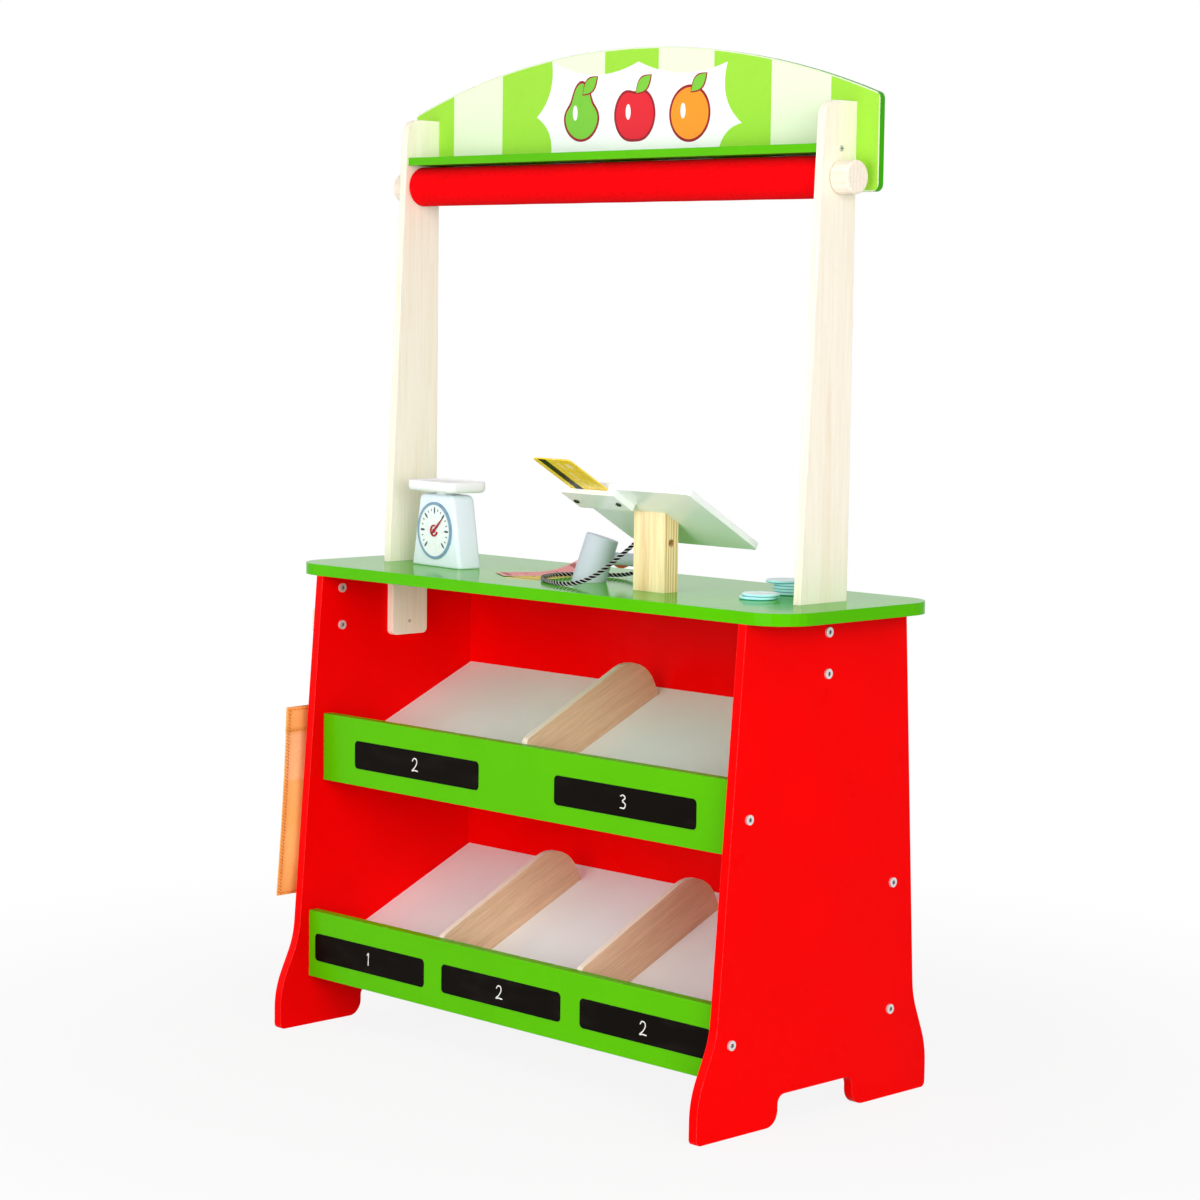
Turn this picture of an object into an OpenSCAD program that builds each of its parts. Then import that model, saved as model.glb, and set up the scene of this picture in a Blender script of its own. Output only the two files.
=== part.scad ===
// Toy market stall: a counter on two side panels with two sloping bins below it, two posts that
// carry an arched sign and a rolled curtain, and the shop things that stand on the counter.
// Millimetres, +Z up, the front faces -Y, the origin is on the floor in the middle of the feet.

/* [Counter] */
// Height of the counter's top face above the floor
counter_h = 540; // [500:1:600]
// Width of the counter
counter_w = 776; // [740:1:840]
// Depth of the counter
counter_d = 254; // [240:1:290]
// Thickness of the counter
counter_t = 13; // [11:0.5:18]
// Corner radius of the counter
counter_corner_r = 47; // [20:1:70]
// How far the counter's middle lies behind the middle of the feet
counter_set_back = 6; // [0:1:12]

/* [Side panels] */
// Width over the outer faces of the two side panels
stall_w = 678; // [640:1:690]
// Thickness of a side panel
panel_t = 11; // [9:0.5:14]
// Depth of a side panel under the counter
panel_top_d = 252; // [236:1:260]
// Depth of a side panel over its feet
foot_d = 362; // [340:1:400]
// Reach of the panel's front edge where the foot begins to flare
waist_front = 153.5; // [145:0.5:165]
// Reach of the panel's back edge where the foot begins to flare
waist_back = 157.5; // [145:0.5:165]
// Height where the foot begins to flare
waist_h = 105; // [95:1:125]
// Height of the upright end of a foot
toe_h = 46; // [40:1:55]
// Radius of the flowing curves of a foot
flare_r = 100; // [60:1:110]
// Radius of a foot's bottom corners
toe_r = 6; // [3:0.5:9]
// Width of the arch between the feet
arch_w = 118; // [90:1:140]
// Height of the arch between the feet
arch_h = 32.5; // [28:0.5:38]
// Radius of the arch's top corners
arch_r = 10; // [5:0.5:12]
// Radius of the feet's inner corners
heel_r = 17; // [10:0.5:18]

/* [Back panel] */
// Thickness of the back panel
back_t = 10; // [9:0.5:12]
// Reach of the back panel's front face behind the middle of the feet
back_reach = 113; // [110:0.5:118]
// Height of the back panel's lower edge
back_low_h = 58; // [45:1:70]

/* [Bins] */
// Thickness of the two shelf boards
shelf_t = 9; // [7:0.5:12]
// Slope of the shelf boards in degrees
shelf_slope = 24; // [20:0.5:26]
// Drop from the counter's underside to the back edge of the upper shelf
upper_shelf_drop = 117; // [105:1:130]
// Height of the lower shelf's back edge
lower_shelf_h = 186; // [178:1:194]
// Depth of the grooves that hold the shelf boards
groove_d = 4; // [3:0.5:5]
// Thickness of the bin fronts
bin_front_t = 12; // [10:0.5:14]
// Height of the bin fronts
bin_front_h = 78; // [72:1:84]
// Reach of the upper bin front ahead of the middle of the feet
upper_front_reach = 117.5; // [112:0.5:121]
// Drop from the counter's underside to the upper bin front's lower edge
upper_front_drop = 239; // [234:1:244]
// Reach of the lower bin front ahead of the middle of the feet
lower_front_reach = 138.5; // [130:0.5:144]
// Height of the lower bin front's lower edge
lower_front_h = 58; // [54:1:62]
// Thickness of the dividers
divider_t = 8; // [6:0.5:10]
// Height of the dividers at the front, square to the shelf
divider_h = 53; // [45:1:58]
// Height of the dividers at the rear, square to the shelf
divider_rear_h = 60; // [50:1:66]
// Radius of a divider's rear top corner
divider_rear_r = 44; // [30:1:48]
// Radius of a divider's front top corner
divider_front_r = 8; // [3:0.5:12]
// Gap between a lower divider and the back panel
divider_back_gap = 24; // [12:1:40]
// Gap between the upper divider and the back panel
upper_divider_back_gap = 13; // [8:1:40]
// Distance between the two lower dividers
lower_divider_pitch = 222; // [200:1:240]

/* [Price boards] */
// Height of a price board
slate_h = 32; // [26:1:36]
// Width of an upper price board
upper_slate_w = 211; // [180:1:230]
// Distance between the middles of the upper price boards
upper_slate_pitch = 332; // [310:1:345]
// Width of a lower price board
lower_slate_w = 191; // [150:1:200]
// Distance between the middles of the lower price boards
lower_slate_pitch = 221; // [212:1:222]
// Thickness of a price board
slate_t = 1.2; // [1:0.1:2]
// Depth of the recess that holds a price board
slate_pocket_d = 0.8; // [0.4:0.1:0.9]
// Corner radius of a price board
slate_r = 5; // [2:0.5:8]
// How far the price boards sit below the middle of their bin front
slate_drop = 3; // [0:0.5:5]

/* [Posts and sign] */
// Thickness of a post
post_t = 10; // [9:0.5:13]
// Depth of a post at the counter
post_base_d = 73; // [66:1:80]
// Depth of a post at its top
post_top_d = 48.5; // [44:0.5:54]
// Height of a post above the counter
post_h = 517.5; // [480:0.5:560]
// Reach of a post's back edge behind the counter's middle
post_reach = 40.5; // [38:0.5:46]
// Radius of a post's front top corner
post_top_r = 18; // [8:0.5:24]
// Width of the tongue that goes down through the counter
tongue_w = 53; // [44:1:60]
// Reach of the tongue below the counter's underside
tongue_drop = 75; // [68:1:84]
// Radius of the tongue's lower corners
tongue_r = 6; // [2:0.5:10]
// How far a post's shoulders sink into the counter's slot
shoulder_sink = 6; // [3:0.5:9]
// Room at each end of a slot in the counter
slot_room = 3; // [1:0.5:5]
// Drop from the counter's underside to the upper bolt of a post
post_bolt_drop = 16; // [12:0.5:22]
// Distance between the two bolts of a post
post_bolt_pitch = 43.5; // [36:0.5:46]
// Thickness of the sign
sign_t = 7.5; // [6:0.5:10]
// Width of the sign
sign_w = 718; // [690:1:760]
// Height of the sign at its ends
sign_end_h = 100; // [90:1:110]
// Rise of the sign's arch above its ends
sign_rise = 63; // [50:1:75]
// Drop from the posts' tops to the sign's lower edge
sign_drop = 92.5; // [84:0.5:100]
// Radius of the sign's corners
sign_r = 8; // [3:0.5:12]
// Thickness of the rail between the posts
rail_t = 9; // [7:0.5:12]
// Depth of the rail
rail_d = 48; // [40:1:52]
// Drop from the posts' tops to the rail's top face
rail_drop = 44.5; // [40:0.5:50]

/* [Curtain] */
// Radius of the curtain's dowel
dowel_r = 7; // [5:0.5:9]
// Gap between the rail and the rolled curtain
roll_gap = 1; // [0.6:0.1:3]
// Thickness of the felt
felt_t = 2.8; // [2:0.1:3.2]
// Gap between the turns of felt
felt_gap = 0.5; // [0.45:0.05:0.8]
// Turns of felt on the dowel
felt_turns = 4.25; // [2.25:1:5.25]
// Radius of the knobs
knob_r = 17.5; // [14:0.5:21]
// Length of a knob
knob_l = 24; // [18:0.5:30]
// Gap between a knob and its post
knob_gap = 0.5; // [0.3:0.1:1]

/* [Fasteners] */
// Radius of a panel bolt's shank
bolt_r = 3; // [2.5:0.1:3.5]
// Radius of a panel bolt's head
bolt_head_r = 5.3; // [4.5:0.1:6.5]
// Height of a panel bolt's head
bolt_head_h = 2.4; // [1.5:0.1:3.5]
// Reach of a panel bolt into the end of a board
bolt_bite = 26; // [18:1:34]
// Radius of a wood screw's shank
screw_r = 1.75; // [1.25:0.05:2]
// Radius of a wood screw's head
screw_head_r = 3.2; // [2.6:0.1:4]
// Height of a wood screw's head
screw_head_h = 1.4; // [1:0.1:2]
// Radius of the dowels that hold the counter
peg_r = 3; // [2:0.25:3.5]
// Reach of the counter dowels into a side panel
peg_l = 22; // [15:1:30]

/* [Till] */
// Place of the till's post along the counter
till_x = 130; // [100:1:160]
// Reach of the till post's front ahead of the counter's middle
till_reach = 54; // [45:1:64]
// Width of the till's post
till_post_w = 46; // [40:1:54]
// Depth of the till's post
till_post_d = 21; // [18:0.5:26]
// Height of the till's post at its front
till_post_h = 86; // [76:1:96]
// Tilt of the till's panel in degrees
till_tilt = 30; // [24:1:34]
// Width of the till's panel
till_w = 186; // [170:1:200]
// Length of the till's panel down its slope
till_l = 125; // [110:1:140]
// How far the panel runs up the slope from the post
till_rise = 49; // [44:1:56]
// Thickness of the till's panel
till_t = 7; // [6:0.5:9]
// Corner radius of the till's panel
till_r = 5; // [2:0.5:8]
// Width of the card reader
reader_w = 80; // [72:1:90]
// Length of the card reader
reader_l = 35; // [30:1:42]
// Thickness of the card reader
reader_t = 8; // [7:0.5:11]
// Width of the payment card
card_w = 56; // [50:1:60]
// Length of the payment card
card_l = 84; // [76:1:90]
// Thickness of the payment card
card_t = 1.6; // [1:0.1:2]
// Corner radius of the payment card
card_r = 4; // [2:0.5:6]
// Depth of the card reader's slot
slot_l = 18; // [14:1:22]
// Radius of the rope hole through the till's post
rope_hole_r = 4.2; // [3.6:0.1:5]
// Height of the rope hole above the counter
rope_hole_h = 53; // [44:1:60]

/* [Scanner] */
// Place of the scanner's head along the counter
scanner_x = 6; // [0:1:12]
// Reach of the scanner's head ahead of the counter's middle
scanner_reach = 22; // [16:1:28]
// Lean of the scanner's head in degrees
scanner_lean = 17; // [12:1:20]
// Heading of the scanner's handle in degrees
scanner_heading = 50; // [40:1:60]
// Radius of the scanner's head
head_r = 18.5; // [16:0.5:21]
// Length of the scanner's head along its axis
head_l = 52; // [47:1:58]
// Radius of the scanner's handle
handle_r = 7.25; // [6:0.25:8.5]
// Reach of the handle from the head's axis
handle_reach = 60; // [54:1:64]
// Distance of the handle up the head's axis
handle_up = 27.5; // [24:0.5:32]
// Dip of the handle in degrees
handle_dip = 3; // [0:1:6]
// Length of the trigger
trigger_l = 15; // [10:0.5:18]
// Width of the trigger
trigger_w = 6; // [4:0.5:8]
// How far the trigger stands out of the handle
trigger_rise = 2.6; // [1.5:0.1:4]
// Diameter of the rope
rope_d = 4.6; // [4:0.1:5]

/* [Scale] */
// Place of the scale along the counter, to the left
scale_x = 232; // [215:1:245]
// Reach of the scale's middle ahead of the counter's middle
scale_reach = 20; // [5:1:35]
// Turn of the scale on the counter in degrees
scale_turn = 6.4; // [0:0.1:12]
// Width of the scale's body at its base
scale_base_w = 96; // [86:1:104]
// Width of the scale's body at its top
scale_top_w = 65; // [58:1:76]
// Depth of the scale's body
scale_d = 32; // [28:1:40]
// Height of the scale's body
scale_h = 84; // [78:1:92]
// Radius of the dial
dial_r = 33; // [27:1:35]
// Thickness of the dial
dial_t = 1.4; // [1:0.1:2]
// Height of the dial's middle above the counter
dial_h = 42; // [38:1:46]
// Width of the pan
pan_w = 89; // [80:1:98]
// Depth of the pan
pan_d = 54; // [46:1:64]
// Thickness of the pan
pan_t = 12.5; // [9:0.5:15]
// Gap between the body and the pan
pan_gap = 3; // [2:0.5:6]
// Length of the pointer
pointer_l = 22; // [16:1:25]

/* [Coins and notes] */
// Radius of a play coin
coin_r = 20.2; // [17:0.2:22]
// Thickness of a play coin
coin_t = 3.2; // [2.6:0.1:4.2]
// Coins in the front stack
front_coins = 2; // [1:1:4]
// Coins in the back stack
back_coins = 5; // [2:1:8]
// Distance of the front stack's middle from the right post
front_stack_gap = 62; // [54:0.5:70]
// Reach of the front stack's middle ahead of the counter's middle
front_stack_reach = 16.5; // [10:0.5:24]
// Distance of the back stack's middle from the right post
back_stack_gap = 73.5; // [64:0.5:84]
// Distance of the back stack's middle behind the counter's middle
back_stack_back = 48; // [40:0.5:56]
// Length of a play note
note_l = 96; // [80:1:110]
// Width of a play note
note_w = 46; // [40:1:54]
// Thickness of a play note
note_t = 0.6; // [0.4:0.1:0.8]
// Place of the lower note's middle along the counter, to the left
lower_note_x = 65.2; // [60:0.2:70]
// Reach of the lower note's middle ahead of the counter's middle
lower_note_reach = 17; // [14:0.5:20]
// Place of the upper note's middle along the counter, to the left
upper_note_x = 88.9; // [84:0.1:94]
// Reach of the upper note's middle ahead of the counter's middle
upper_note_reach = 3.9; // [0:0.1:8]

/* [Bag and hook] */
// Width of the hook
hook_w = 12; // [10:1:16]
// Thickness of the hook's plate
hook_t = 10; // [9:0.5:13]
// Reach of the hook's arm from its plate to its upturned end
hook_arm_l = 18; // [16:1:22]
// Thickness of the hook's arm
hook_arm_t = 12; // [9:0.5:14]
// Thickness of the hook's upturned end
hook_end_t = 7; // [5:0.5:9]
// Height of the hook's upturned end above its arm
hook_end_h = 16; // [10:1:22]
// Reach of the hook's middle ahead of the counter's middle
hook_reach = 97.5; // [90:0.5:104]
// Drop from the counter's underside to the top of the hook's plate
hook_drop = 3; // [2:0.5:8]
// Height of the hook's plate
hook_h = 68; // [64:1:76]
// Width of the bag at its mouth
bag_top_w = 114; // [98:1:122]
// Width of the bag at its bottom
bag_low_w = 143; // [127:1:153]
// Height of the bag
bag_h = 221; // [200:1:240]
// Depth of the bag near its bottom
bag_d = 28; // [20:1:30]
// Depth of the bag at its mouth
bag_mouth_d = 8; // [6:0.5:10]
// Width of the bag's straps
strap_w = 10; // [8:1:12]
// Thickness of the bag's straps
strap_t = 2; // [1.5:0.1:2.4]
// Height of the straps above the bag's mouth
strap_h = 96; // [88:1:104]

/* [Hidden] */
$fn = 64;

// Clearances, and how far a cut runs past a face
overrun = 1;
fit_gap = 0.2;
run_gap = 0.06;
rest_gap = 0.3;

// Points on each rounded corner, and on the sign's arch
corner_steps = 8;
arch_steps = 24;

// Places that the pieces share
mid_y = counter_set_back;
under_counter = counter_h - counter_t;
panel_out = stall_w / 2;
panel_in = panel_out - panel_t;
post_in = panel_in - post_t;
post_back = mid_y + post_reach;
post_top = counter_h + post_h;
tongue_low = under_counter - tongue_drop;
sign_low = post_top - sign_drop;
rail_top = post_top - rail_drop;
rail_y = post_back - rail_d / 2;
upper_front_h = under_counter - upper_front_drop;
upper_shelf_h = under_counter - upper_shelf_drop;

// The rolled curtain: inner and outer radius, and its axis below the rail
roll_pitch = felt_t + felt_gap;
roll_in_r = dowel_r + fit_gap;
roll_r = roll_in_r + felt_turns * roll_pitch + felt_t;
roll_z = rail_top - rail_t - roll_gap - roll_r;
roll_y = rail_y - roll_gap;
roll_steps = 36;
roll_end_gap = 1;
roll_half_l = post_in - roll_end_gap;

// Panel bolts on one side as [y, z, reach into the mate]
back_bolt_low = 38;
back_bolt_pitch = 138;
post_bolt_bite_share = 0.85;
back_mid_y = back_reach + back_t / 2;
SIDE_BOLTS = [
    [mid_y, under_counter - post_bolt_drop, post_t * post_bolt_bite_share],
    [mid_y, under_counter - post_bolt_drop - post_bolt_pitch, post_t * post_bolt_bite_share],
    [bin_front_t / 2 - upper_front_reach, upper_front_h + bin_front_h / 2, bolt_bite],
    [bin_front_t / 2 - lower_front_reach, lower_front_h + bin_front_h / 2, bolt_bite],
    [back_mid_y, back_low_h + back_bolt_low, bolt_bite],
    [back_mid_y, back_low_h + back_bolt_low + back_bolt_pitch, bolt_bite]
];

// Hook: its bolts and the straps that hang on its arm
hook_y = mid_y - hook_reach;
hook_top = under_counter - hook_drop;
hook_arm_low = hook_top - hook_h;
hook_bolt_edge = 12;
hook_bolt_pitch = 43.5;
hook_bolt_bite_share = 0.7;
hook_round_r = 3;
strap_gap = 2;
strap_play = 3;
strap_hole_r = hook_w / 2 + strap_play;
bag_mid_x = panel_out + hook_t + hook_arm_l / 2;
bag_top = hook_arm_low + hook_arm_t + rest_gap - strap_h;

// Till: the tilted frame starts at the front top edge of its post
till_y = mid_y - till_reach;
till_shift = 4;
till_left = till_x - till_w / 2 + till_shift;
reader_screw_edge = 8;
card_x = till_left + reader_w / 2;
plug_l = 18;
plug_inset = 14;

// Scanner: its handle and its trigger sit in sockets, and the rope in the handle's end
handle_round = 2;
head_round = 1.5;
handle_socket_share = 0.5;
trigger_place_share = 0.47;
trigger_seat_share = 0.35;
trigger_steps = 12;
rope_socket_l = 6.5;
rope_socket_gap = 0.25;

// Scale details
scale_r = 4;
pan_r = 8;
stem_r = 12;
pointer_turn = 48;
pointer_t = 1;
pointer_hub_r = 3;
pointer_tip_w = 1;
pointer_pin_r = 1.2;
pointer_pin_l = 8;
pointer_gap = 0.4;
rim_w = 3;
rim_h = 0.8;

// Turns of the notes on the counter in degrees
lower_note_turn = 95;
upper_note_turn = 60;

// Rope: straight out of the till's post, down in front of the scanner's head, round the counter
// and up into the end of the handle; every point was chosen by hand
ROPE = [
    [121, -37.5, 593], [107, -37.5, 593], [100, -38, 590], [94, -39.5, 585], [87, -42.5, 578.5],
    [77, -50, 567.5], [66, -61, 555.5], [53, -70, 547], [38, -76, 543.2], [22, -77, 542.4],
    [6, -73, 542.4], [-10, -66, 542.4], [-25, -56, 542.7], [-38, -43, 543.1], [-47, -28, 543.1],
    [-51, -11, 543.1], [-47, 6, 543.1], [-38, 20, 543.1], [-26, 31, 542.7], [-12, 39, 542.8],
    [2, 44, 544], [16, 47, 547], [30, 51.5, 551], [42, 57, 555], [51, 58, 558], [56.5, 53.5, 560.4],
    [57.5, 47, 561.8], [54.6, 42, 562.8], [49.7, 36, 563.2], [45.8, 31.5, 563.4]
];
rope_sides = 10;

// Rounded outline: each corner is [x, y, radius]
function unit_of(v) = v / norm(v);
function corner_arc(a, b, c, r) =
    let (u = unit_of(a - b), v = unit_of(c - b),
         half = acos(u * v) / 2,
         run = r / tan(half),
         middle = b + unit_of(u + v) * r / sin(half),
         p = b + u * run - middle,
         q = b + v * run - middle,
         first = atan2(p[1], p[0]),
         sweep = (atan2(q[1], q[0]) - first + 540) % 360 - 180)
    [for (i = [0 : corner_steps])
        let (t = first + sweep * i / corner_steps)
        middle + r * [cos(t), sin(t)]];
function flat_point(c) = [c[0], c[1]];
function outline(corners) =
    let (n = len(corners))
    [for (i = [0 : n - 1])
        let (b = corners[i])
        each (b[2] > 0
            ? corner_arc(flat_point(corners[(i + n - 1) % n]), flat_point(b),
                         flat_point(corners[(i + 1) % n]), b[2])
            : [flat_point(b)])];
function rounded_box(w, d, r) =
    outline([[-w / 2, -d / 2, r], [w / 2, -d / 2, r], [w / 2, d / 2, r], [-w / 2, d / 2, r]]);

// A shape drawn in Y and Z, made solid from one X to another
module along_x(from, to) {
    translate([from, 0, 0])
        rotate([90, 0, 90])
            linear_extrude(to - from)
                children();
}

// A shape drawn in X and Z, made solid from one Y to another
module along_y(from, to) {
    translate([0, to, 0])
        rotate([90, 0, 0])
            linear_extrude(to - from)
                children();
}

// Draws the right side as it is, or mirrored for the left
module on_side(side) {
    mirror([side < 0 ? 1 : 0, 0, 0])
        children();
}

// A round bar along X
module bar_x(from, to, r) {
    translate([from, 0, 0])
        rotate([0, 90, 0])
            cylinder(r = r, h = to - from);
}

// Panel bolt: its head stands on the face at zero and its shank goes down
module bolt(reach) {
    socket_r_share = 0.45;
    socket_d_share = 0.6;
    difference() {
        union() {
            cylinder(r = bolt_head_r, h = bolt_head_h);
            translate([0, 0, -reach])
                cylinder(r = bolt_r, h = reach + bolt_head_h / 2);
        }
        translate([0, 0, bolt_head_h * (1 - socket_d_share)])
            cylinder(r = bolt_head_r * socket_r_share, h = bolt_head_h + overrun, $fn = 6);
    }
}

// Wood screw: its head stands on the face at zero and its shank goes down
module screw(reach) {
    slot_w_share = 0.25;
    slot_d_share = 0.5;
    difference() {
        union() {
            cylinder(r = screw_head_r, h = screw_head_h);
            translate([0, 0, -reach])
                cylinder(r = screw_r, h = reach + screw_head_h / 2);
        }
        for (turn = [0, 90])
            rotate([0, 0, turn])
                translate([0, 0, screw_head_h * (1 - slot_d_share / 2) + overrun / 2])
                    cube([screw_head_r * 2 * (1 - slot_w_share), screw_head_r * slot_w_share,
                          screw_head_h * slot_d_share + overrun], center = true);
    }
}

// Holes for the panel bolts of one side, from the outer face inwards
module side_bolt_holes() {
    for (b = SIDE_BOLTS)
        translate([0, b[0], b[1]])
            bar_x(panel_in - b[2] - fit_gap, panel_out + overrun, bolt_r + fit_gap);
}

// Counter with its two slots, and blind holes for the dowels and the till's screws
module counter_top() {
    color("limegreen")
        difference() {
            translate([0, mid_y, under_counter])
                linear_extrude(counter_t)
                    polygon(rounded_box(counter_w, counter_d, counter_corner_r));
            for (side = [-1, 1])
                on_side(side)
                    translate([post_in - fit_gap, post_back - post_base_d - slot_room,
                               under_counter - overrun])
                        cube([post_t + fit_gap * 2, post_base_d + slot_room * 2,
                              counter_t + overrun * 2]);
            peg_places()
                cylinder(r = peg_r + fit_gap, h = peg_up + fit_gap);
            till_screw_places()
                translate([0, 0, -overrun])
                    cylinder(r = screw_r + fit_gap, h = counter_t + overrun * 2);
        }
}

// Outline of a side panel, front edge first
function panel_outline() = outline([
    [mid_y - panel_top_d / 2, under_counter, 0],
    [-waist_front, waist_h, flare_r],
    [-foot_d / 2, toe_h, flare_r],
    [-foot_d / 2, 0, toe_r],
    [-arch_w / 2, 0, heel_r],
    [-arch_w / 2, arch_h, arch_r],
    [arch_w / 2, arch_h, arch_r],
    [arch_w / 2, 0, heel_r],
    [foot_d / 2, 0, toe_r],
    [foot_d / 2, toe_h, flare_r],
    [waist_back, waist_h, flare_r],
    [mid_y + panel_top_d / 2, under_counter, 0]
]);

module side_panel(side) {
    color("red")
        difference() {
            on_side(side)
                difference() {
                    along_x(panel_in, panel_out)
                        polygon(panel_outline());
                    side_bolt_holes();
                }
            peg_places()
                translate([0, 0, -peg_l - fit_gap])
                    cylinder(r = peg_r + fit_gap, h = peg_l + fit_gap + overrun);
            if (side < 0)
                hook_bolt_places()
                    translate([0, 0, -panel_t - overrun])
                        cylinder(r = bolt_r + fit_gap, h = panel_t + overrun * 2);
        }
}

module left_side_panel() {
    side_panel(-1);
}

module right_side_panel() {
    side_panel(1);
}

// Dowels between the side panels' top edges and the counter
peg_up_share = 0.55;
peg_y_share = 0.32;
peg_up = counter_t * peg_up_share;

module peg_places() {
    for (side = [-1, 1], end = [-1, 1])
        translate([side * (panel_in + panel_t / 2), mid_y + end * panel_top_d * peg_y_share,
                   under_counter])
            children();
}

module counter_pegs() {
    color("burlywood")
        peg_places()
            translate([0, 0, -peg_l])
                cylinder(r = peg_r, h = peg_l + peg_up);
}

// Shelf board seen from the side, from one Y to another, with some room all round
function shelf_top(y, back_h) = back_h - (back_reach - y) * tan(shelf_slope);
function shelf_outline(front_y, back_y, back_h, room) =
    let (thick = shelf_t / cos(shelf_slope))
    [[front_y, shelf_top(front_y, back_h) + room],
     [back_y, shelf_top(back_y, back_h) + room],
     [back_y, shelf_top(back_y, back_h) - thick - room],
     [front_y, shelf_top(front_y, back_h) - thick - room]];

module shelf(front_reach, back_h) {
    color("whitesmoke")
        difference() {
            along_x(fit_gap - panel_in, panel_in - fit_gap)
                polygon(shelf_outline(bin_front_t - groove_d - front_reach, back_reach + groove_d,
                                      back_h, 0));
            divider_screw_places(front_reach, back_h)
                translate([0, 0, -shelf_t - overrun])
                    cylinder(r = screw_r + fit_gap, h = shelf_t + overrun * 2);
        }
}

// Groove for a shelf board
module shelf_groove(front_reach, back_h) {
    along_x(-panel_in - overrun, panel_in + overrun)
        polygon(shelf_outline(bin_front_t - groove_d - front_reach - fit_gap,
                              back_reach + groove_d + fit_gap, back_h, fit_gap));
}

module upper_shelf() {
    shelf(upper_front_reach, upper_shelf_h);
}

module lower_shelf() {
    shelf(lower_front_reach, lower_shelf_h);
}

module back_panel() {
    color("red")
        difference() {
            translate([-panel_in, back_reach, back_low_h])
                cube([panel_in * 2, back_t, under_counter - back_low_h]);
            shelf_groove(upper_front_reach, upper_shelf_h);
            shelf_groove(lower_front_reach, lower_shelf_h);
            for (side = [-1, 1])
                on_side(side)
                    side_bolt_holes();
        }
}

// Front board of a bin, with a groove for its shelf and recesses for its price boards
module bin_front(front_reach, low_h, back_h, slate_w, slate_mids) {
    color("limegreen")
        difference() {
            translate([-panel_in, -front_reach, low_h])
                cube([panel_in * 2, bin_front_t, bin_front_h]);
            shelf_groove(front_reach, back_h);
            for (x = slate_mids)
                translate([x, 0, low_h + bin_front_h / 2 - slate_drop])
                    along_y(-front_reach - overrun, slate_pocket_d - front_reach)
                        polygon(rounded_box(slate_w + fit_gap * 2, slate_h + fit_gap * 2,
                                            slate_r + fit_gap));
            for (side = [-1, 1])
                on_side(side)
                    side_bolt_holes();
        }
}

UPPER_SLATES = [for (i = [-1, 1]) i * upper_slate_pitch / 2];
LOWER_SLATES = [for (i = [-1 : 1]) i * lower_slate_pitch];

module upper_bin_front() {
    bin_front(upper_front_reach, upper_front_h, upper_shelf_h, upper_slate_w, UPPER_SLATES);
}

module lower_bin_front() {
    bin_front(lower_front_reach, lower_front_h, lower_shelf_h, lower_slate_w, LOWER_SLATES);
}

// Price boards, seated in their recesses
module price_boards(front_reach, low_h, slate_w, slate_mids) {
    color("black")
        for (x = slate_mids)
            translate([x, 0, low_h + bin_front_h / 2 - slate_drop])
                along_y(slate_pocket_d - slate_t - front_reach, slate_pocket_d - front_reach)
                    polygon(rounded_box(slate_w, slate_h, slate_r));
}

module upper_price_boards() {
    price_boards(upper_front_reach, upper_front_h, upper_slate_w, UPPER_SLATES);
}

module lower_price_boards() {
    price_boards(lower_front_reach, lower_front_h, lower_slate_w, LOWER_SLATES);
}

// Where a divider ends at the rear
function divider_rear(front_reach) =
    back_reach - (front_reach == upper_front_reach ? upper_divider_back_gap : divider_back_gap);

// Divider seen from the side: it stands on the shelf behind the bin front
function divider_outline(front_reach, back_h) =
    let (front_y = bin_front_t - front_reach + fit_gap,
         rear_y = divider_rear(front_reach),
         rise = [-sin(shelf_slope), cos(shelf_slope)] * divider_rear_h,
         rear = [rear_y, shelf_top(rear_y, back_h)])
    outline([[front_y, shelf_top(front_y, back_h), 0],
             [rear[0], rear[1], 0],
             [rear[0] + rise[0], rear[1] + rise[1], divider_rear_r],
             [front_y, shelf_top(front_y, back_h) + divider_h / cos(shelf_slope),
              divider_front_r]]);

divider_screw_shares = [0.3, 0.8];
divider_screw_bite = 14;

module divider(front_reach, back_h, x) {
    color("burlywood")
        difference() {
            along_x(x - divider_t / 2, x + divider_t / 2)
                polygon(divider_outline(front_reach, back_h));
            divider_screw_places(front_reach, back_h)
                translate([0, 0, -overrun])
                    cylinder(r = screw_r + fit_gap, h = divider_screw_bite + fit_gap + overrun);
        }
}

// Places on a shelf's top face under its dividers, with Z square to the board
module divider_screw_places(front_reach, back_h) {
    front_y = bin_front_t - front_reach;
    mids = front_reach == upper_front_reach ? [0] : [-lower_divider_pitch / 2, lower_divider_pitch / 2];
    for (x = mids, share = divider_screw_shares) {
        y = front_y + (divider_rear(front_reach) - front_y) * share;
        translate([x, y, shelf_top(y, back_h)])
            rotate([shelf_slope, 0, 0])
                children();
    }
}

module upper_divider() {
    divider(upper_front_reach, upper_shelf_h, 0);
}

module lower_divider_left() {
    divider(lower_front_reach, lower_shelf_h, -lower_divider_pitch / 2);
}

module lower_divider_right() {
    divider(lower_front_reach, lower_shelf_h, lower_divider_pitch / 2);
}

// Screws up through the shelves into the dividers
module divider_screws() {
    color("silver") {
        divider_screw_places(upper_front_reach, upper_shelf_h)
            divider_screw();
        divider_screw_places(lower_front_reach, lower_shelf_h)
            divider_screw();
    }
}

module divider_screw() {
    translate([0, 0, -shelf_t])
        rotate([180, 0, 0])
            screw(shelf_t + divider_screw_bite);
}

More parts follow.
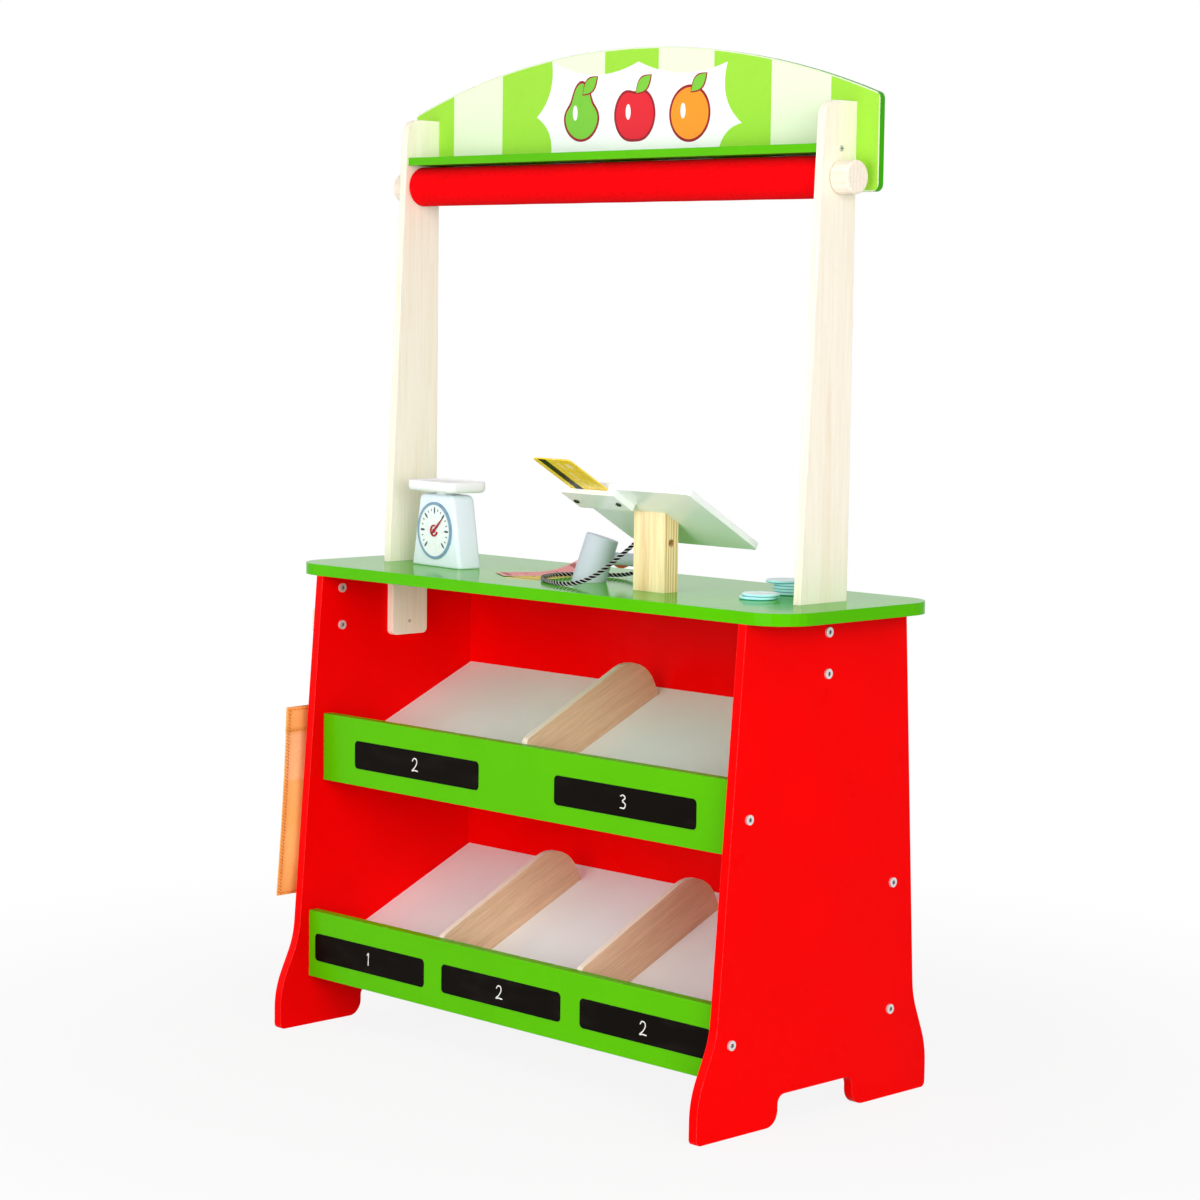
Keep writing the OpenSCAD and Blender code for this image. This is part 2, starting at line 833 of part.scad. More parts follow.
// Post: a tapering board whose shoulders stand in the counter's slot
module post(side) {
    shoulder_z = counter_h - shoulder_sink;
    front_base = post_back - post_base_d;
    color("burlywood")
        on_side(side)
            difference() {
                along_x(post_in, panel_in)
                    polygon(outline([
                        [post_back, shoulder_z, 0],
                        [post_back, post_top, 0],
                        [post_back - post_top_d, post_top, post_top_r],
                        [front_base, shoulder_z, 0],
                        [mid_y - tongue_w / 2, shoulder_z, 0],
                        [mid_y - tongue_w / 2, tongue_low, tongue_r],
                        [mid_y + tongue_w / 2, tongue_low, tongue_r],
                        [mid_y + tongue_w / 2, shoulder_z, 0]
                    ]));
                side_bolt_holes();
                translate([0, roll_y, roll_z])
                    bar_x(post_in - overrun, panel_in + overrun, dowel_r + run_gap);
                rail_screw_hole();
                sign_screw_places()
                    translate([0, 0, -sign_t - sign_screw_bite - fit_gap])
                        cylinder(r = screw_r + fit_gap, h = sign_screw_bite + sign_t);
            }
}

module left_post() {
    post(-1);
}

module right_post() {
    post(1);
}

// Arched sign on the backs of the posts
function sign_arc() =
    let (half = sign_w / 2,
         r = (half * half + sign_rise * sign_rise) / (2 * sign_rise),
         reach = asin(half / r))
    [for (i = [0 : arch_steps])
        let (t = reach - 2 * reach * i / arch_steps,
             round = i == 0 || i == arch_steps ? sign_r : 0)
        [r * sin(t), sign_low + sign_end_h + sign_rise - r + r * cos(t), round]];

module sign_board() {
    color("yellowgreen")
        difference() {
            along_y(post_back, post_back + sign_t)
                polygon(outline(concat([[-sign_w / 2, sign_low, sign_r], [sign_w / 2, sign_low, sign_r]],
                                       sign_arc())));
            for (side = [-1, 1])
                on_side(side)
                    sign_screw_places()
                        translate([0, 0, -sign_t - overrun])
                            cylinder(r = screw_r + fit_gap, h = sign_t + overrun * 2);
        }
}

// Places on the sign's back face behind the right post, with Z to the back
sign_screw_bite = 22;
sign_screw_shares = [0.25, 0.78];

module sign_screw_places() {
    for (share = sign_screw_shares)
        translate([panel_in - post_t / 2, post_back + sign_t, sign_low + sign_drop * share])
            rotate([-90, 0, 0])
                children();
}

module sign_screws() {
    color("silver")
        for (side = [-1, 1])
            on_side(side)
                sign_screw_places()
                    screw(sign_t + sign_screw_bite);
}

// Rail between the posts, above the curtain
rail_screw_bite = 24;

module rail_screw_hole() {
    translate([0, rail_y, rail_top - rail_t / 2])
        bar_x(post_in - rail_screw_bite - fit_gap, panel_in + overrun, screw_r + fit_gap);
}

module top_rail() {
    color("limegreen")
        difference() {
            translate([-post_in, post_back - rail_d, rail_top - rail_t])
                cube([post_in * 2, rail_d, rail_t]);
            for (side = [-1, 1])
                on_side(side)
                    rail_screw_hole();
        }
}

module rail_screws() {
    color("silver")
        for (side = [-1, 1])
            on_side(side)
                translate([panel_in, rail_y, rail_top - rail_t / 2])
                    rotate([0, 90, 0])
                        screw(post_t + rail_screw_bite);
}

// Dowel that carries the curtain, through both posts into the knobs
knob_seat_share = 0.6;
knob_round_share = 0.12;
dowel_half_l = panel_in + knob_gap + knob_l * knob_seat_share;

module curtain_dowel() {
    color("burlywood")
        translate([0, roll_y, roll_z])
            bar_x(-dowel_half_l, dowel_half_l, dowel_r);
}

module knob(side) {
    round_r = knob_l * knob_round_share;
    color("burlywood")
        on_side(side)
            translate([panel_in + knob_gap, roll_y, roll_z])
                rotate([0, 90, 0])
                    difference() {
                        rotate_extrude()
                            polygon(outline([[0, 0, 0], [knob_r, 0, round_r],
                                             [knob_r, knob_l, round_r], [0, knob_l, 0]]));
                        translate([0, 0, -overrun])
                            cylinder(r = dowel_r + run_gap, h = knob_l * knob_seat_share + overrun);
                    }
}

module left_knob() {
    knob(-1);
}

module right_knob() {
    knob(1);
}

// Felt wound on the dowel as one sheet; it ends at the back, next to the sign
function roll_point(i, out) =
    let (turn = 360 * i / roll_steps,
         r = roll_in_r + roll_pitch * i / roll_steps + out)
    r * [sin(turn), cos(turn)];
function roll_count() = round(felt_turns * roll_steps);
function roll_least_gap() =
    min([for (i = [0 : roll_count() - roll_steps])
        norm(roll_point(i + roll_steps, 0)) - norm(roll_point(i, felt_t))]);
echo(least_gap_of_rolled_curtain = roll_least_gap());

module rolled_curtain() {
    count = roll_count();
    color("crimson")
        translate([0, roll_y, roll_z])
            along_x(-roll_half_l, roll_half_l)
                polygon(concat([for (i = [0 : count]) roll_point(i, 0)],
                               [for (i = [count : -1 : 0]) roll_point(i, felt_t)]));
}

// Bolts through both side panels
module side_bolts() {
    color("silver")
        for (side = [-1, 1], b = SIDE_BOLTS)
            on_side(side)
                translate([panel_out, b[0], b[1]])
                    rotate([0, 90, 0])
                        bolt(panel_t + b[2]);
}

// Places on the left panel's inner face for the hook's bolts, with Z inwards
module hook_bolt_places() {
    for (drop = [hook_bolt_edge, hook_bolt_edge + hook_bolt_pitch])
        translate([-panel_in, hook_y, hook_top - drop])
            rotate([0, 90, 0])
                children();
}

module hook_bolts() {
    color("silver")
        hook_bolt_places()
            bolt(panel_t + hook_t * hook_bolt_bite_share);
}

// Wooden hook outside the left panel
module bag_hook() {
    plate_x = -panel_out - hook_t;
    end_x = plate_x - hook_arm_l - hook_end_t;
    arm_top = hook_arm_low + hook_arm_t;
    color("burlywood")
        difference() {
            along_y(hook_y - hook_w / 2, hook_y + hook_w / 2)
                polygon(outline([
                    [-panel_out, hook_arm_low, 0],
                    [-panel_out, hook_top, 0],
                    [plate_x, hook_top, hook_round_r],
                    [plate_x, arm_top, hook_round_r],
                    [end_x + hook_end_t, arm_top, hook_round_r],
                    [end_x + hook_end_t, arm_top + hook_end_h, hook_round_r],
                    [end_x, arm_top + hook_end_h, hook_round_r],
                    [end_x, hook_arm_low, hook_round_r]
                ]));
            hook_bolt_places()
                translate([0, 0, -panel_t - hook_t * hook_bolt_bite_share - fit_gap])
                    cylinder(r = bolt_r + fit_gap, h = hook_t);
        }
}

// Cloth bag: its depth swells downwards and its sides spread
bag_swell_share = 0.3;
bag_low_r = 10;

module shopping_bag() {
    swell_z = bag_top - bag_h * (1 - bag_swell_share);
    color("orange")
        intersection() {
            along_y(hook_y - bag_low_w, hook_y + bag_low_w)
                polygon(outline([
                    [-bag_mid_x - bag_mouth_d / 2, bag_top, 0],
                    [-bag_mid_x - bag_d / 2, swell_z, bag_h * bag_swell_share],
                    [-bag_mid_x - bag_d / 2, bag_top - bag_h, bag_low_r],
                    [-bag_mid_x + bag_d / 2, bag_top - bag_h, bag_low_r],
                    [-bag_mid_x + bag_d / 2, swell_z, bag_h * bag_swell_share],
                    [-bag_mid_x + bag_mouth_d / 2, bag_top, 0]
                ]));
            along_x(-bag_mid_x - bag_d, -bag_mid_x + bag_d)
                polygon([[hook_y - bag_top_w / 2, bag_top], [hook_y + bag_top_w / 2, bag_top],
                         [hook_y + bag_low_w / 2, bag_top - bag_h],
                         [hook_y - bag_low_w / 2, bag_top - bag_h]]);
        }
}

// The two straps stand on the bag's mouth and hang on the hook's arm
module bag_straps() {
    out_r = strap_hole_r + strap_w;
    top_z = bag_top + strap_h;
    leg_low = bag_top;
    color("darkorange")
        for (side = [-1, 1])
            translate([side * strap_gap - bag_mid_x, 0, 0])
                along_x(-strap_t / 2, strap_t / 2)
                    difference() {
                        polygon(outline([
                            [hook_y - out_r, leg_low, 0], [hook_y + out_r, leg_low, 0],
                            [hook_y + out_r, top_z + strap_w, out_r * strap_round_share],
                            [hook_y - out_r, top_z + strap_w, out_r * strap_round_share]
                        ]));
                        polygon(outline([
                            [hook_y - strap_hole_r, leg_low - overrun, 0],
                            [hook_y + strap_hole_r, leg_low - overrun, 0],
                            [hook_y + strap_hole_r, top_z, strap_hole_r * strap_hole_share],
                            [hook_y - strap_hole_r, top_z, strap_hole_r * strap_hole_share]
                        ]));
                    }
}
strap_round_share = 0.7;
strap_hole_share = 0.25;

// Till's post, cut off at the panel's tilt, with a hole for the rope
module till_post() {
    back_y = till_y + till_post_d;
    color("wheat")
        difference() {
            along_x(till_x - till_post_w / 2, till_x + till_post_w / 2)
                polygon([[till_y, counter_h], [back_y, counter_h],
                         [back_y, counter_h + till_post_h - till_post_d * tan(till_tilt)],
                         [till_y, counter_h + till_post_h]]);
            translate([0, till_y + till_post_d / 2, counter_h + rope_hole_h])
                bar_x(till_x - till_post_w / 2 - overrun, till_x + till_post_w / 2 + overrun,
                      rope_hole_r);
            till_screw_places()
                cylinder(r = screw_r + fit_gap, h = counter_t + till_screw_bite + fit_gap);
        }
}

// Places on the counter's underside below the till's post
till_screw_bite = 24;
till_screw_share = 0.28;

module till_screw_places() {
    for (side = [-1, 1])
        translate([till_x + side * till_post_w * till_screw_share, till_y + till_post_d / 2,
                   under_counter])
            children();
}

module till_screws() {
    color("silver")
        till_screw_places()
            rotate([180, 0, 0])
                screw(counter_t + till_screw_bite);
}

// Plug in the till post's hole that holds the rope's end
module rope_plug() {
    color("wheat")
        translate([0, till_y + till_post_d / 2, counter_h + rope_hole_h])
            bar_x(till_x - till_post_w / 2 + plug_inset, till_x - till_post_w / 2 + plug_inset + plug_l,
                  rope_hole_r - run_gap);
}

// Tilted frame of the till: Y runs down the slope, Z points up off the panel's underside
module on_till() {
    translate([0, till_y, counter_h + till_post_h])
        rotate([-till_tilt, 0, 0])
            children();
}

module till_panel() {
    color("white")
        on_till()
            difference() {
                translate([till_left + till_w / 2, till_l / 2 - till_rise, 0])
                    linear_extrude(till_t)
                        polygon(rounded_box(till_w, till_l, till_r));
                reader_screw_places()
                    cylinder(r = screw_r + fit_gap, h = reader_t + till_t / 2 + fit_gap);
            }
}

// Card reader under the panel's front edge, with a slot for the card
module card_reader() {
    slot_d = card_t + fit_gap * 3;
    color("white")
        on_till()
            difference() {
                translate([till_left, -till_rise, -reader_t])
                    cube([reader_w, reader_l, reader_t]);
                translate([card_x - card_w / 2 - rest_gap, -till_rise - overrun, -slot_d])
                    cube([card_w + rest_gap * 2, slot_l + rest_gap + overrun, slot_d + overrun]);
                reader_screw_places()
                    translate([0, 0, -overrun])
                        cylinder(r = screw_r + fit_gap, h = reader_t + overrun * 2);
            }
}

// Places on the reader's underside for its screws, beside the slot
reader_screw_share = 0.55;

module reader_screw_places() {
    for (x = [till_left + reader_screw_edge, till_left + reader_w - reader_screw_edge])
        translate([x, reader_l * reader_screw_share - till_rise, -reader_t])
            children();
}

module reader_screws() {
    color("dimgray")
        on_till()
            reader_screw_places()
                rotate([180, 0, 0])
                    screw(reader_t + till_t / 2);
}

// Payment card, part way in the reader's slot
module payment_card() {
    color("gold")
        on_till()
            translate([card_x, slot_l - card_l / 2 - till_rise, -fit_gap - card_t])
                linear_extrude(card_t)
                    polygon(rounded_box(card_w, card_l, card_r));
}

// Frame of the scanner: it stands on the counter, X below its handle
module on_scanner() {
    translate([scanner_x, mid_y - scanner_reach, counter_h])
        rotate([0, 0, scanner_heading])
            children();
}

// Frame of the handle: X along it, out of the head's axis
module on_handle() {
    on_scanner()
        translate([handle_up * sin(scanner_lean), 0, handle_up * cos(scanner_lean)])
            rotate([0, handle_dip, 0])
                children();
}

// Head: a leaning cylinder with its foot cut flat to stand on the counter
module scanner_head() {
    color("gray")
        difference() {
            on_scanner()
                difference() {
                    rotate([0, scanner_lean, 0])
                        rotate_extrude()
                            polygon(outline([[0, -head_r, 0], [head_r, -head_r, 0],
                                             [head_r, head_l, head_round], [0, head_l, 0]]));
                    translate([-head_l, -head_l, -head_l * 2])
                        cube(head_l * 2);
                }
            on_handle()
                bar_x(head_r * handle_socket_share, head_r * 2, handle_r + run_gap);
        }
}

module scanner_handle() {
    socket_x = head_r * handle_socket_share;
    color("gray")
        on_handle()
            difference() {
                rotate([0, 90, 0])
                    rotate_extrude()
                        polygon(outline([[0, socket_x, 0], [handle_r, socket_x, 0],
                                         [handle_r, handle_reach, handle_round],
                                         [0, handle_reach, 0]]));
                bar_x(handle_reach - rope_socket_l, handle_reach + overrun,
                      rope_d / 2 + rope_socket_gap);
                translate([handle_reach * trigger_place_share - trigger_l / 2 - fit_gap,
                           -trigger_w / 2 - fit_gap, -handle_r - overrun])
                    cube([trigger_l + fit_gap * 2, trigger_w + fit_gap * 2,
                          handle_r * trigger_seat_share + overrun]);
            }
}

// Trigger under the handle, with a rounded face
function trigger_outline() =
    let (half = trigger_l / 2,
         r = (half * half + trigger_rise * trigger_rise) / (2 * trigger_rise),
         reach = asin(half / r),
         seat = handle_r * (1 - trigger_seat_share))
    concat([[half, -seat], [-half, -seat]],
           [for (i = [0 : trigger_steps])
               let (t = reach * (2 * i / trigger_steps - 1))
               [r * sin(t), r - handle_r - trigger_rise - r * cos(t)]]);

module scanner_trigger() {
    color("sienna")
        on_handle()
            translate([handle_reach * trigger_place_share, 0, 0])
                along_y(-trigger_w / 2, trigger_w / 2)
                    polygon(trigger_outline());
}

// Rope: one tube swept along its points
function path_aim(path, i) =
    unit_of(path[min(i + 1, len(path) - 1)] - path[max(i - 1, 0)]);
function ring_at(path, i, r) =
    let (aim = path_aim(path, i),
         side = unit_of(cross(aim, [0, 0, 1])),
         up = cross(side, aim))
    [for (k = [0 : rope_sides - 1])
        let (t = 360 * k / rope_sides)
        path[i] + r * (cos(t) * side + sin(t) * up)];

module swept_tube(path, r) {
    n = len(path);
    points = [for (i = [0 : n - 1]) each ring_at(path, i, r)];
    walls = [for (i = [0 : n - 2], k = [0 : rope_sides - 1])
        let (a = i * rope_sides + k, b = i * rope_sides + (k + 1) % rope_sides)
        each [[a, a + rope_sides, b], [b, a + rope_sides, b + rope_sides]]];
    first = [for (k = [1 : rope_sides - 2]) [0, k, k + 1]];
    base = (n - 1) * rope_sides;
    last = [for (k = [1 : rope_sides - 2]) [base, base + k + 1, base + k]];
    polyhedron(points = points, faces = concat(walls, first, last));
}

module scanner_rope() {
    color("dimgray")
        swept_tube(ROPE, rope_d / 2);
}

// Frame of the scale: it stands on the counter, a little turned
module on_scale() {
    translate([-scale_x, mid_y - scale_reach, counter_h])
        rotate([0, 0, -scale_turn])
            children();
}

// Frame of the dial: its middle on the body's front face, Z towards the buyer, Y up
module on_dial() {
    on_scale()
        translate([0, -scale_d / 2, dial_h])
            rotate([90, 0, 0])
                children();
}

module scale_body() {
    color("lightcyan")
        difference() {
            on_scale()
                along_y(-scale_d / 2, scale_d / 2)
                    polygon(outline([
                        [-scale_base_w / 2, 0, scale_r], [scale_base_w / 2, 0, scale_r],
                        [scale_top_w / 2, scale_h, scale_r], [-scale_top_w / 2, scale_h, scale_r]]));
            on_dial()
                translate([0, 0, -pointer_pin_l - fit_gap])
                    cylinder(r = pointer_pin_r + run_gap, h = pointer_pin_l + overrun);
        }
}

module scale_dial() {
    color("steelblue")
        on_dial()
            rotate_extrude()
                polygon([[pointer_pin_r + run_gap, 0], [dial_r, 0], [dial_r, dial_t + rim_h],
                         [dial_r - rim_w, dial_t + rim_h], [dial_r - rim_w, dial_t],
                         [pointer_pin_r + run_gap, dial_t]]);
}

module scale_pointer() {
    color("firebrick")
        on_dial()
            rotate([0, 0, -pointer_turn]) {
                translate([0, 0, dial_t + pointer_gap])
                    linear_extrude(pointer_t) {
                        circle(r = pointer_hub_r);
                        polygon([[-pointer_hub_r / 2, 0], [pointer_hub_r / 2, 0],
                                 [pointer_tip_w / 2, pointer_l], [-pointer_tip_w / 2, pointer_l]]);
                    }
                translate([0, 0, -pointer_pin_l])
                    cylinder(r = pointer_pin_r, h = pointer_pin_l + dial_t + pointer_gap + pointer_t / 2);
            }
}

module scale_pan() {
    color("white")
        on_scale() {
            translate([0, 0, scale_h])
                cylinder(r = stem_r, h = pan_gap + pan_t / 2);
            translate([0, 0, scale_h + pan_gap])
                linear_extrude(pan_t)
                    polygon(rounded_box(pan_w, pan_d, pan_r));
        }
}

// A stack of play coins
module coin_stack(gap, reach, count) {
    round_share = 0.2;
    color("lightblue")
        translate([post_in - gap, mid_y - reach, counter_h])
            for (i = [0 : count - 1])
                translate([0, 0, i * coin_t])
                    rotate_extrude()
                        polygon(outline([[0, 0, 0], [coin_r, 0, coin_t * round_share],
                                         [coin_r, coin_t, coin_t * round_share], [0, coin_t, 0]]));
}

module front_coin_stack() {
    coin_stack(front_stack_gap, front_stack_reach, front_coins);
}

module back_coin_stack() {
    coin_stack(back_stack_gap, -back_stack_back, back_coins);
}

// A play note that lies on the counter, or on the note below it
module note(left, reach, turn, level, tint) {
    color(tint)
        translate([-left, mid_y - reach, counter_h + note_t * level])
            rotate([0, 0, turn])
                linear_extrude(note_t)
                    square([note_l, note_w], center = true);
}

module lower_note() {
    note(lower_note_x, lower_note_reach, lower_note_turn, 0, "khaki");
}

module upper_note() {
    note(upper_note_x, upper_note_reach, upper_note_turn, 1, "lightpink");
}

counter_top();
left_side_panel();
right_side_panel();
back_panel();
upper_shelf();
lower_shelf();
upper_bin_front();
lower_bin_front();
upper_divider();
lower_divider_left();
lower_divider_right();
divider_screws();
upper_price_boards();
lower_price_boards();
left_post();
right_post();
sign_board();
sign_screws();
top_rail();
rail_screws();
curtain_dowel();
left_knob();
right_knob();
rolled_curtain();
side_bolts();
hook_bolts();
counter_pegs();
till_post();
till_screws();
till_panel();
card_reader();
reader_screws();
payment_card();
rope_plug();
scanner_rope();
scanner_head();
scanner_handle();
scanner_trigger();
scale_body();
scale_dial();
scale_pointer();
scale_pan();
front_coin_stack();
back_coin_stack();
lower_note();
upper_note();
bag_hook();
shopping_bag();
bag_straps();
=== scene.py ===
"""Looks of the toy market stall: lacquer, timber, print, felt, rope and cloth over its CAD frame.

The frame is in metres, +Z up, with the front at -Y. Sizes in the classes below are millimetres, as
on a maker's drawing, and a Shape turns them into metres when it becomes a piece.
"""
import functools
import itertools
import logging
import math
from collections.abc import Iterable, Sequence
from dataclasses import dataclass
from enum import Enum
from typing import ClassVar

import bpy
from mathutils import Matrix, Vector, noise


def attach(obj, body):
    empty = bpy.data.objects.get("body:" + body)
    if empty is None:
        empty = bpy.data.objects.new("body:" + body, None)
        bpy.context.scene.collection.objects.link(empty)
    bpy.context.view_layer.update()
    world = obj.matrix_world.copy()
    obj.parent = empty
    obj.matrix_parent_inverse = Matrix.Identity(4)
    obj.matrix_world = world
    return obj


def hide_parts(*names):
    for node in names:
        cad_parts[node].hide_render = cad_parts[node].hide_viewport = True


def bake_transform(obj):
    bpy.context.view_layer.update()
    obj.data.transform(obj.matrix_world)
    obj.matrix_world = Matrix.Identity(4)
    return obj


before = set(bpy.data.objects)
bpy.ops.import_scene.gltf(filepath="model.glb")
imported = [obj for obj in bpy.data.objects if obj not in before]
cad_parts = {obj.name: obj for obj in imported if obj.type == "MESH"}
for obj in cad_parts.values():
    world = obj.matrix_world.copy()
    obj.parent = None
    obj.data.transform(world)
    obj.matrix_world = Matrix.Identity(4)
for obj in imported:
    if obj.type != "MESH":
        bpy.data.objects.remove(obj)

log = logging.getLogger("market_stall")
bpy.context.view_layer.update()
MM = 0.001

Colour = tuple[float, float, float, float]
Flat = tuple[float, float]
Point = tuple[float, float, float]
Socket = bpy.types.NodeSocket
Material = bpy.types.Material
Piece = bpy.types.Object


class Axis(Enum):
    """The three axes of the frame."""

    X = 0
    Y = 1
    Z = 2


class Fruit(Enum):
    """Simple fruits that decorate the sign."""

    APPLE = "apple"
    PEAR = "pear"
    ORANGE = "orange"


# Colours


def tone(red: int, green: int, blue: int) -> Colour:
    """Turn a swatch into the linear colour that a shader takes.

    Args:
        red: Red, 0 to 255.
        green: Green, 0 to 255.
        blue: Blue, 0 to 255.

    Returns:
        The linear colour with full opacity.
    """
    steps = [step / 255 for step in (red, green, blue)]
    linear = [s / 12.92 if s <= 0.04045 else ((s + 0.055) / 1.055) ** 2.4 for s in steps]
    return (linear[0], linear[1], linear[2], 1.0)


def shaded(colour: Colour, share: float) -> Colour:
    """Make a colour darker, or lighter with a share above one."""
    return (colour[0] * share, colour[1] * share, colour[2] * share, 1.0)


def paler(colour: Colour, share: float) -> Colour:
    """Move a colour towards white by a share."""
    return tuple(c + (1 - c) * share for c in colour[:3]) + (1.0,)


def deeper(colour: Colour) -> Colour:
    """Give a colour a shade more saturation, for the depth between fibres and for the painted shade along the
    cloth's crease.
    """
    top = max(colour[:3])
    return tuple(c * (c / top) ** 0.15 for c in colour[:3]) + (1.0,)


# Finishes

# Nearly all of a cloud's values lie between these two
CLOUD_LOW = 0.3
CLOUD_HIGH = 0.7


def add_node(tree: bpy.types.NodeTree, kind: str, inputs: dict | None = None,
             **settings: object) -> bpy.types.Node:
    """Add a shader node.

    Args:
        tree: The nodes that it joins.
        kind: The node's type, without its prefix.
        inputs: What goes into its sockets, as values or as sockets to link.
        settings: Values of the node's own properties.

    Returns:
        The new node.
    """
    node = tree.nodes.new("ShaderNode" + kind)
    for key, value in settings.items():
        setattr(node, key, value)
    for key, value in (inputs or {}).items():
        if isinstance(value, Socket):
            tree.links.new(value, node.inputs[key])
        else:
            node.inputs[key].default_value = value
    return node


class Recipe:
    """A material in the making: a Principled shader and short calls that add nodes before it."""

    def __init__(self, name: str) -> None:
        """Start a material whose pattern space is the piece's own, in millimetres.

        Args:
            name: Name of the material.
        """
        self.material = bpy.data.materials.new(name)
        self.material.use_nodes = True
        self.tree = self.material.node_tree
        self.shader = self.tree.nodes["Principled BSDF"]
        own = self.add("TexCoord").outputs["Object"]
        self.place = self.add("VectorMath", {0: own, "Scale": 1 / MM}, operation="SCALE").outputs[0]

    def add(self, kind: str, inputs: dict | None = None, **settings: object) -> bpy.types.Node:
        """Add a node to the material."""
        return add_node(self.tree, kind, inputs, **settings)

    def math(self, operation: str, *terms: float | Socket) -> Socket:
        """Add a sum on one or two terms."""
        return self.add("Math", dict(enumerate(terms)), operation=operation).outputs[0]

    def times(self, *terms: float | Socket) -> Socket:
        """Multiply two terms."""
        return self.math("MULTIPLY", *terms)

    def most(self, *terms: float | Socket) -> Socket:
        """Give the larger of two terms."""
        return self.math("MAXIMUM", *terms)

    def along(self, axis: Axis, place: Socket | None = None) -> Socket:
        """Give one coordinate of a place."""
        return self.add("SeparateXYZ", {0: place or self.place}).outputs[axis.value]

    def facing(self, axis: Axis) -> Socket:
        """Give how far the surface faces along an axis, -1 to 1."""
        return self.along(axis, self.add("TexCoord").outputs["Normal"])

    def stretched(self, scale: Sequence[float], place: Socket | None = None) -> Socket:
        """Give a place with each axis scaled."""
        return self.add("VectorMath", {0: place or self.place, 1: scale}, operation="MULTIPLY").outputs[0]

    def turned(self, degrees: float) -> Socket:
        """Give the place turned about the X axis."""
        inputs = {"Vector": self.place, "Angle": math.radians(degrees)}
        return self.add("VectorRotate", inputs, rotation_type="X_AXIS").outputs[0]

    def away_from(self, point: Point, place: Socket | None = None) -> Socket:
        """Give the distance of a place from a point."""
        inputs = {0: place or self.place, 1: point}
        return self.add("VectorMath", inputs, operation="DISTANCE").outputs["Value"]

    def cloud(self, size: float, detail: float = 3.0, place: Socket | None = None) -> Socket:
        """Add noise.

        Args:
            size: Width of a blotch.
            detail: How many finer layers it has.
            place: Where the noise is read, if not at the piece's own place.

        Returns:
            The noise, about 0 to 1.
        """
        inputs = {"Vector": place or self.place, "Scale": 1 / size, "Detail": detail}
        return self.add("TexNoise", inputs).outputs[0]

    def ease(self, value: Socket, low: float, high: float, first: float = 0.0, last: float = 1.0) -> Socket:
        """Map a value smoothly.

        Args:
            value: What is mapped.
            low: Value that gives first.
            high: Value that gives last.
            first: Result up to low.
            last: Result from high.

        Returns:
            The mapped value.
        """
        inputs = {"Value": value, "From Min": low, "From Max": high, "To Min": first, "To Max": last}
        return self.add("MapRange", inputs, interpolation_type="SMOOTHSTEP").outputs[0]

    def spread(self, cloud: Socket, first: float = 0.0, last: float = 1.0) -> Socket:
        """Spread noise over the whole range from one value to another."""
        return self.ease(cloud, CLOUD_LOW, CLOUD_HIGH, first, last)

    def mottle(self, size: float, detail: float, first: float = 0.0, last: float = 1.0) -> Socket:
        """Give soft blotches that range from one value to another."""
        return self.spread(self.cloud(size, detail), first, last)

    def inside(self, value: Socket, low: float, high: float, soft: float = 0.15) -> Socket:
        """Give one between two limits and zero outside them."""
        rising = self.ease(value, low - soft, low + soft)
        return self.times(rising, self.ease(value, high - soft, high + soft, 1.0, 0.0))

    def mixed(self, share: float | Socket, first: Colour | Socket, second: Colour | Socket) -> Socket:
        """Mix two colours by a share of the second."""
        return self.add("Mix", {0: share, 6: first, 7: second}, data_type="RGBA").outputs[2]

    def bump(self, height: Socket, depth: float, normal: Socket | None = None) -> Socket:
        """Turn a height pattern into normals.

        Args:
            height: The pattern, 0 to 1.
            depth: How deep it goes.
            normal: Normals that it adds to.

        Returns:
            The new normals.
        """
        inputs = {"Strength": 1.0, "Distance": depth * MM, "Height": height}
        if normal is not None:
            inputs["Normal"] = normal
        return self.add("Bump", inputs).outputs[0]

    def eased_edges(self, radius: float) -> tuple[Socket, Socket]:
        """Ease the edges of a board.

        Args:
            radius: Radius of the eased edges.

        Returns:
            The normals, and a mask that is one along the edges.
        """
        normal = self.add("Bevel", {"Radius": radius * MM}, samples=4).outputs[0]
        true = self.add("NewGeometry").outputs["Normal"]
        even = self.add("VectorMath", {0: normal, 1: true}, operation="DOT_PRODUCT").outputs["Value"]
        return normal, self.ease(even, 0.995, 0.8)

    def done(self, colour: Colour | Socket, roughness: float | Socket, normal: Socket | None = None,
             **constants: float) -> Material:
        """Join everything to the shader.

        Args:
            colour: Base colour.
            roughness: Roughness.
            normal: Normals, if the surface has a relief.
            constants: Values for other sockets, with the spaces in their names left out.

        Returns:
            The finished material.
        """
        sockets = {"BaseColor": colour, "Roughness": roughness, "SpecularIORLevel": 0.2, **constants}
        if normal is not None:
            sockets["Normal"] = normal
        by_name = {socket.name.replace(" ", ""): socket for socket in self.shader.inputs}
        for key, value in sockets.items():
            if isinstance(value, Socket):
                self.tree.links.new(value, by_name[key])
            else:
                by_name[key].default_value = value
        return self.material


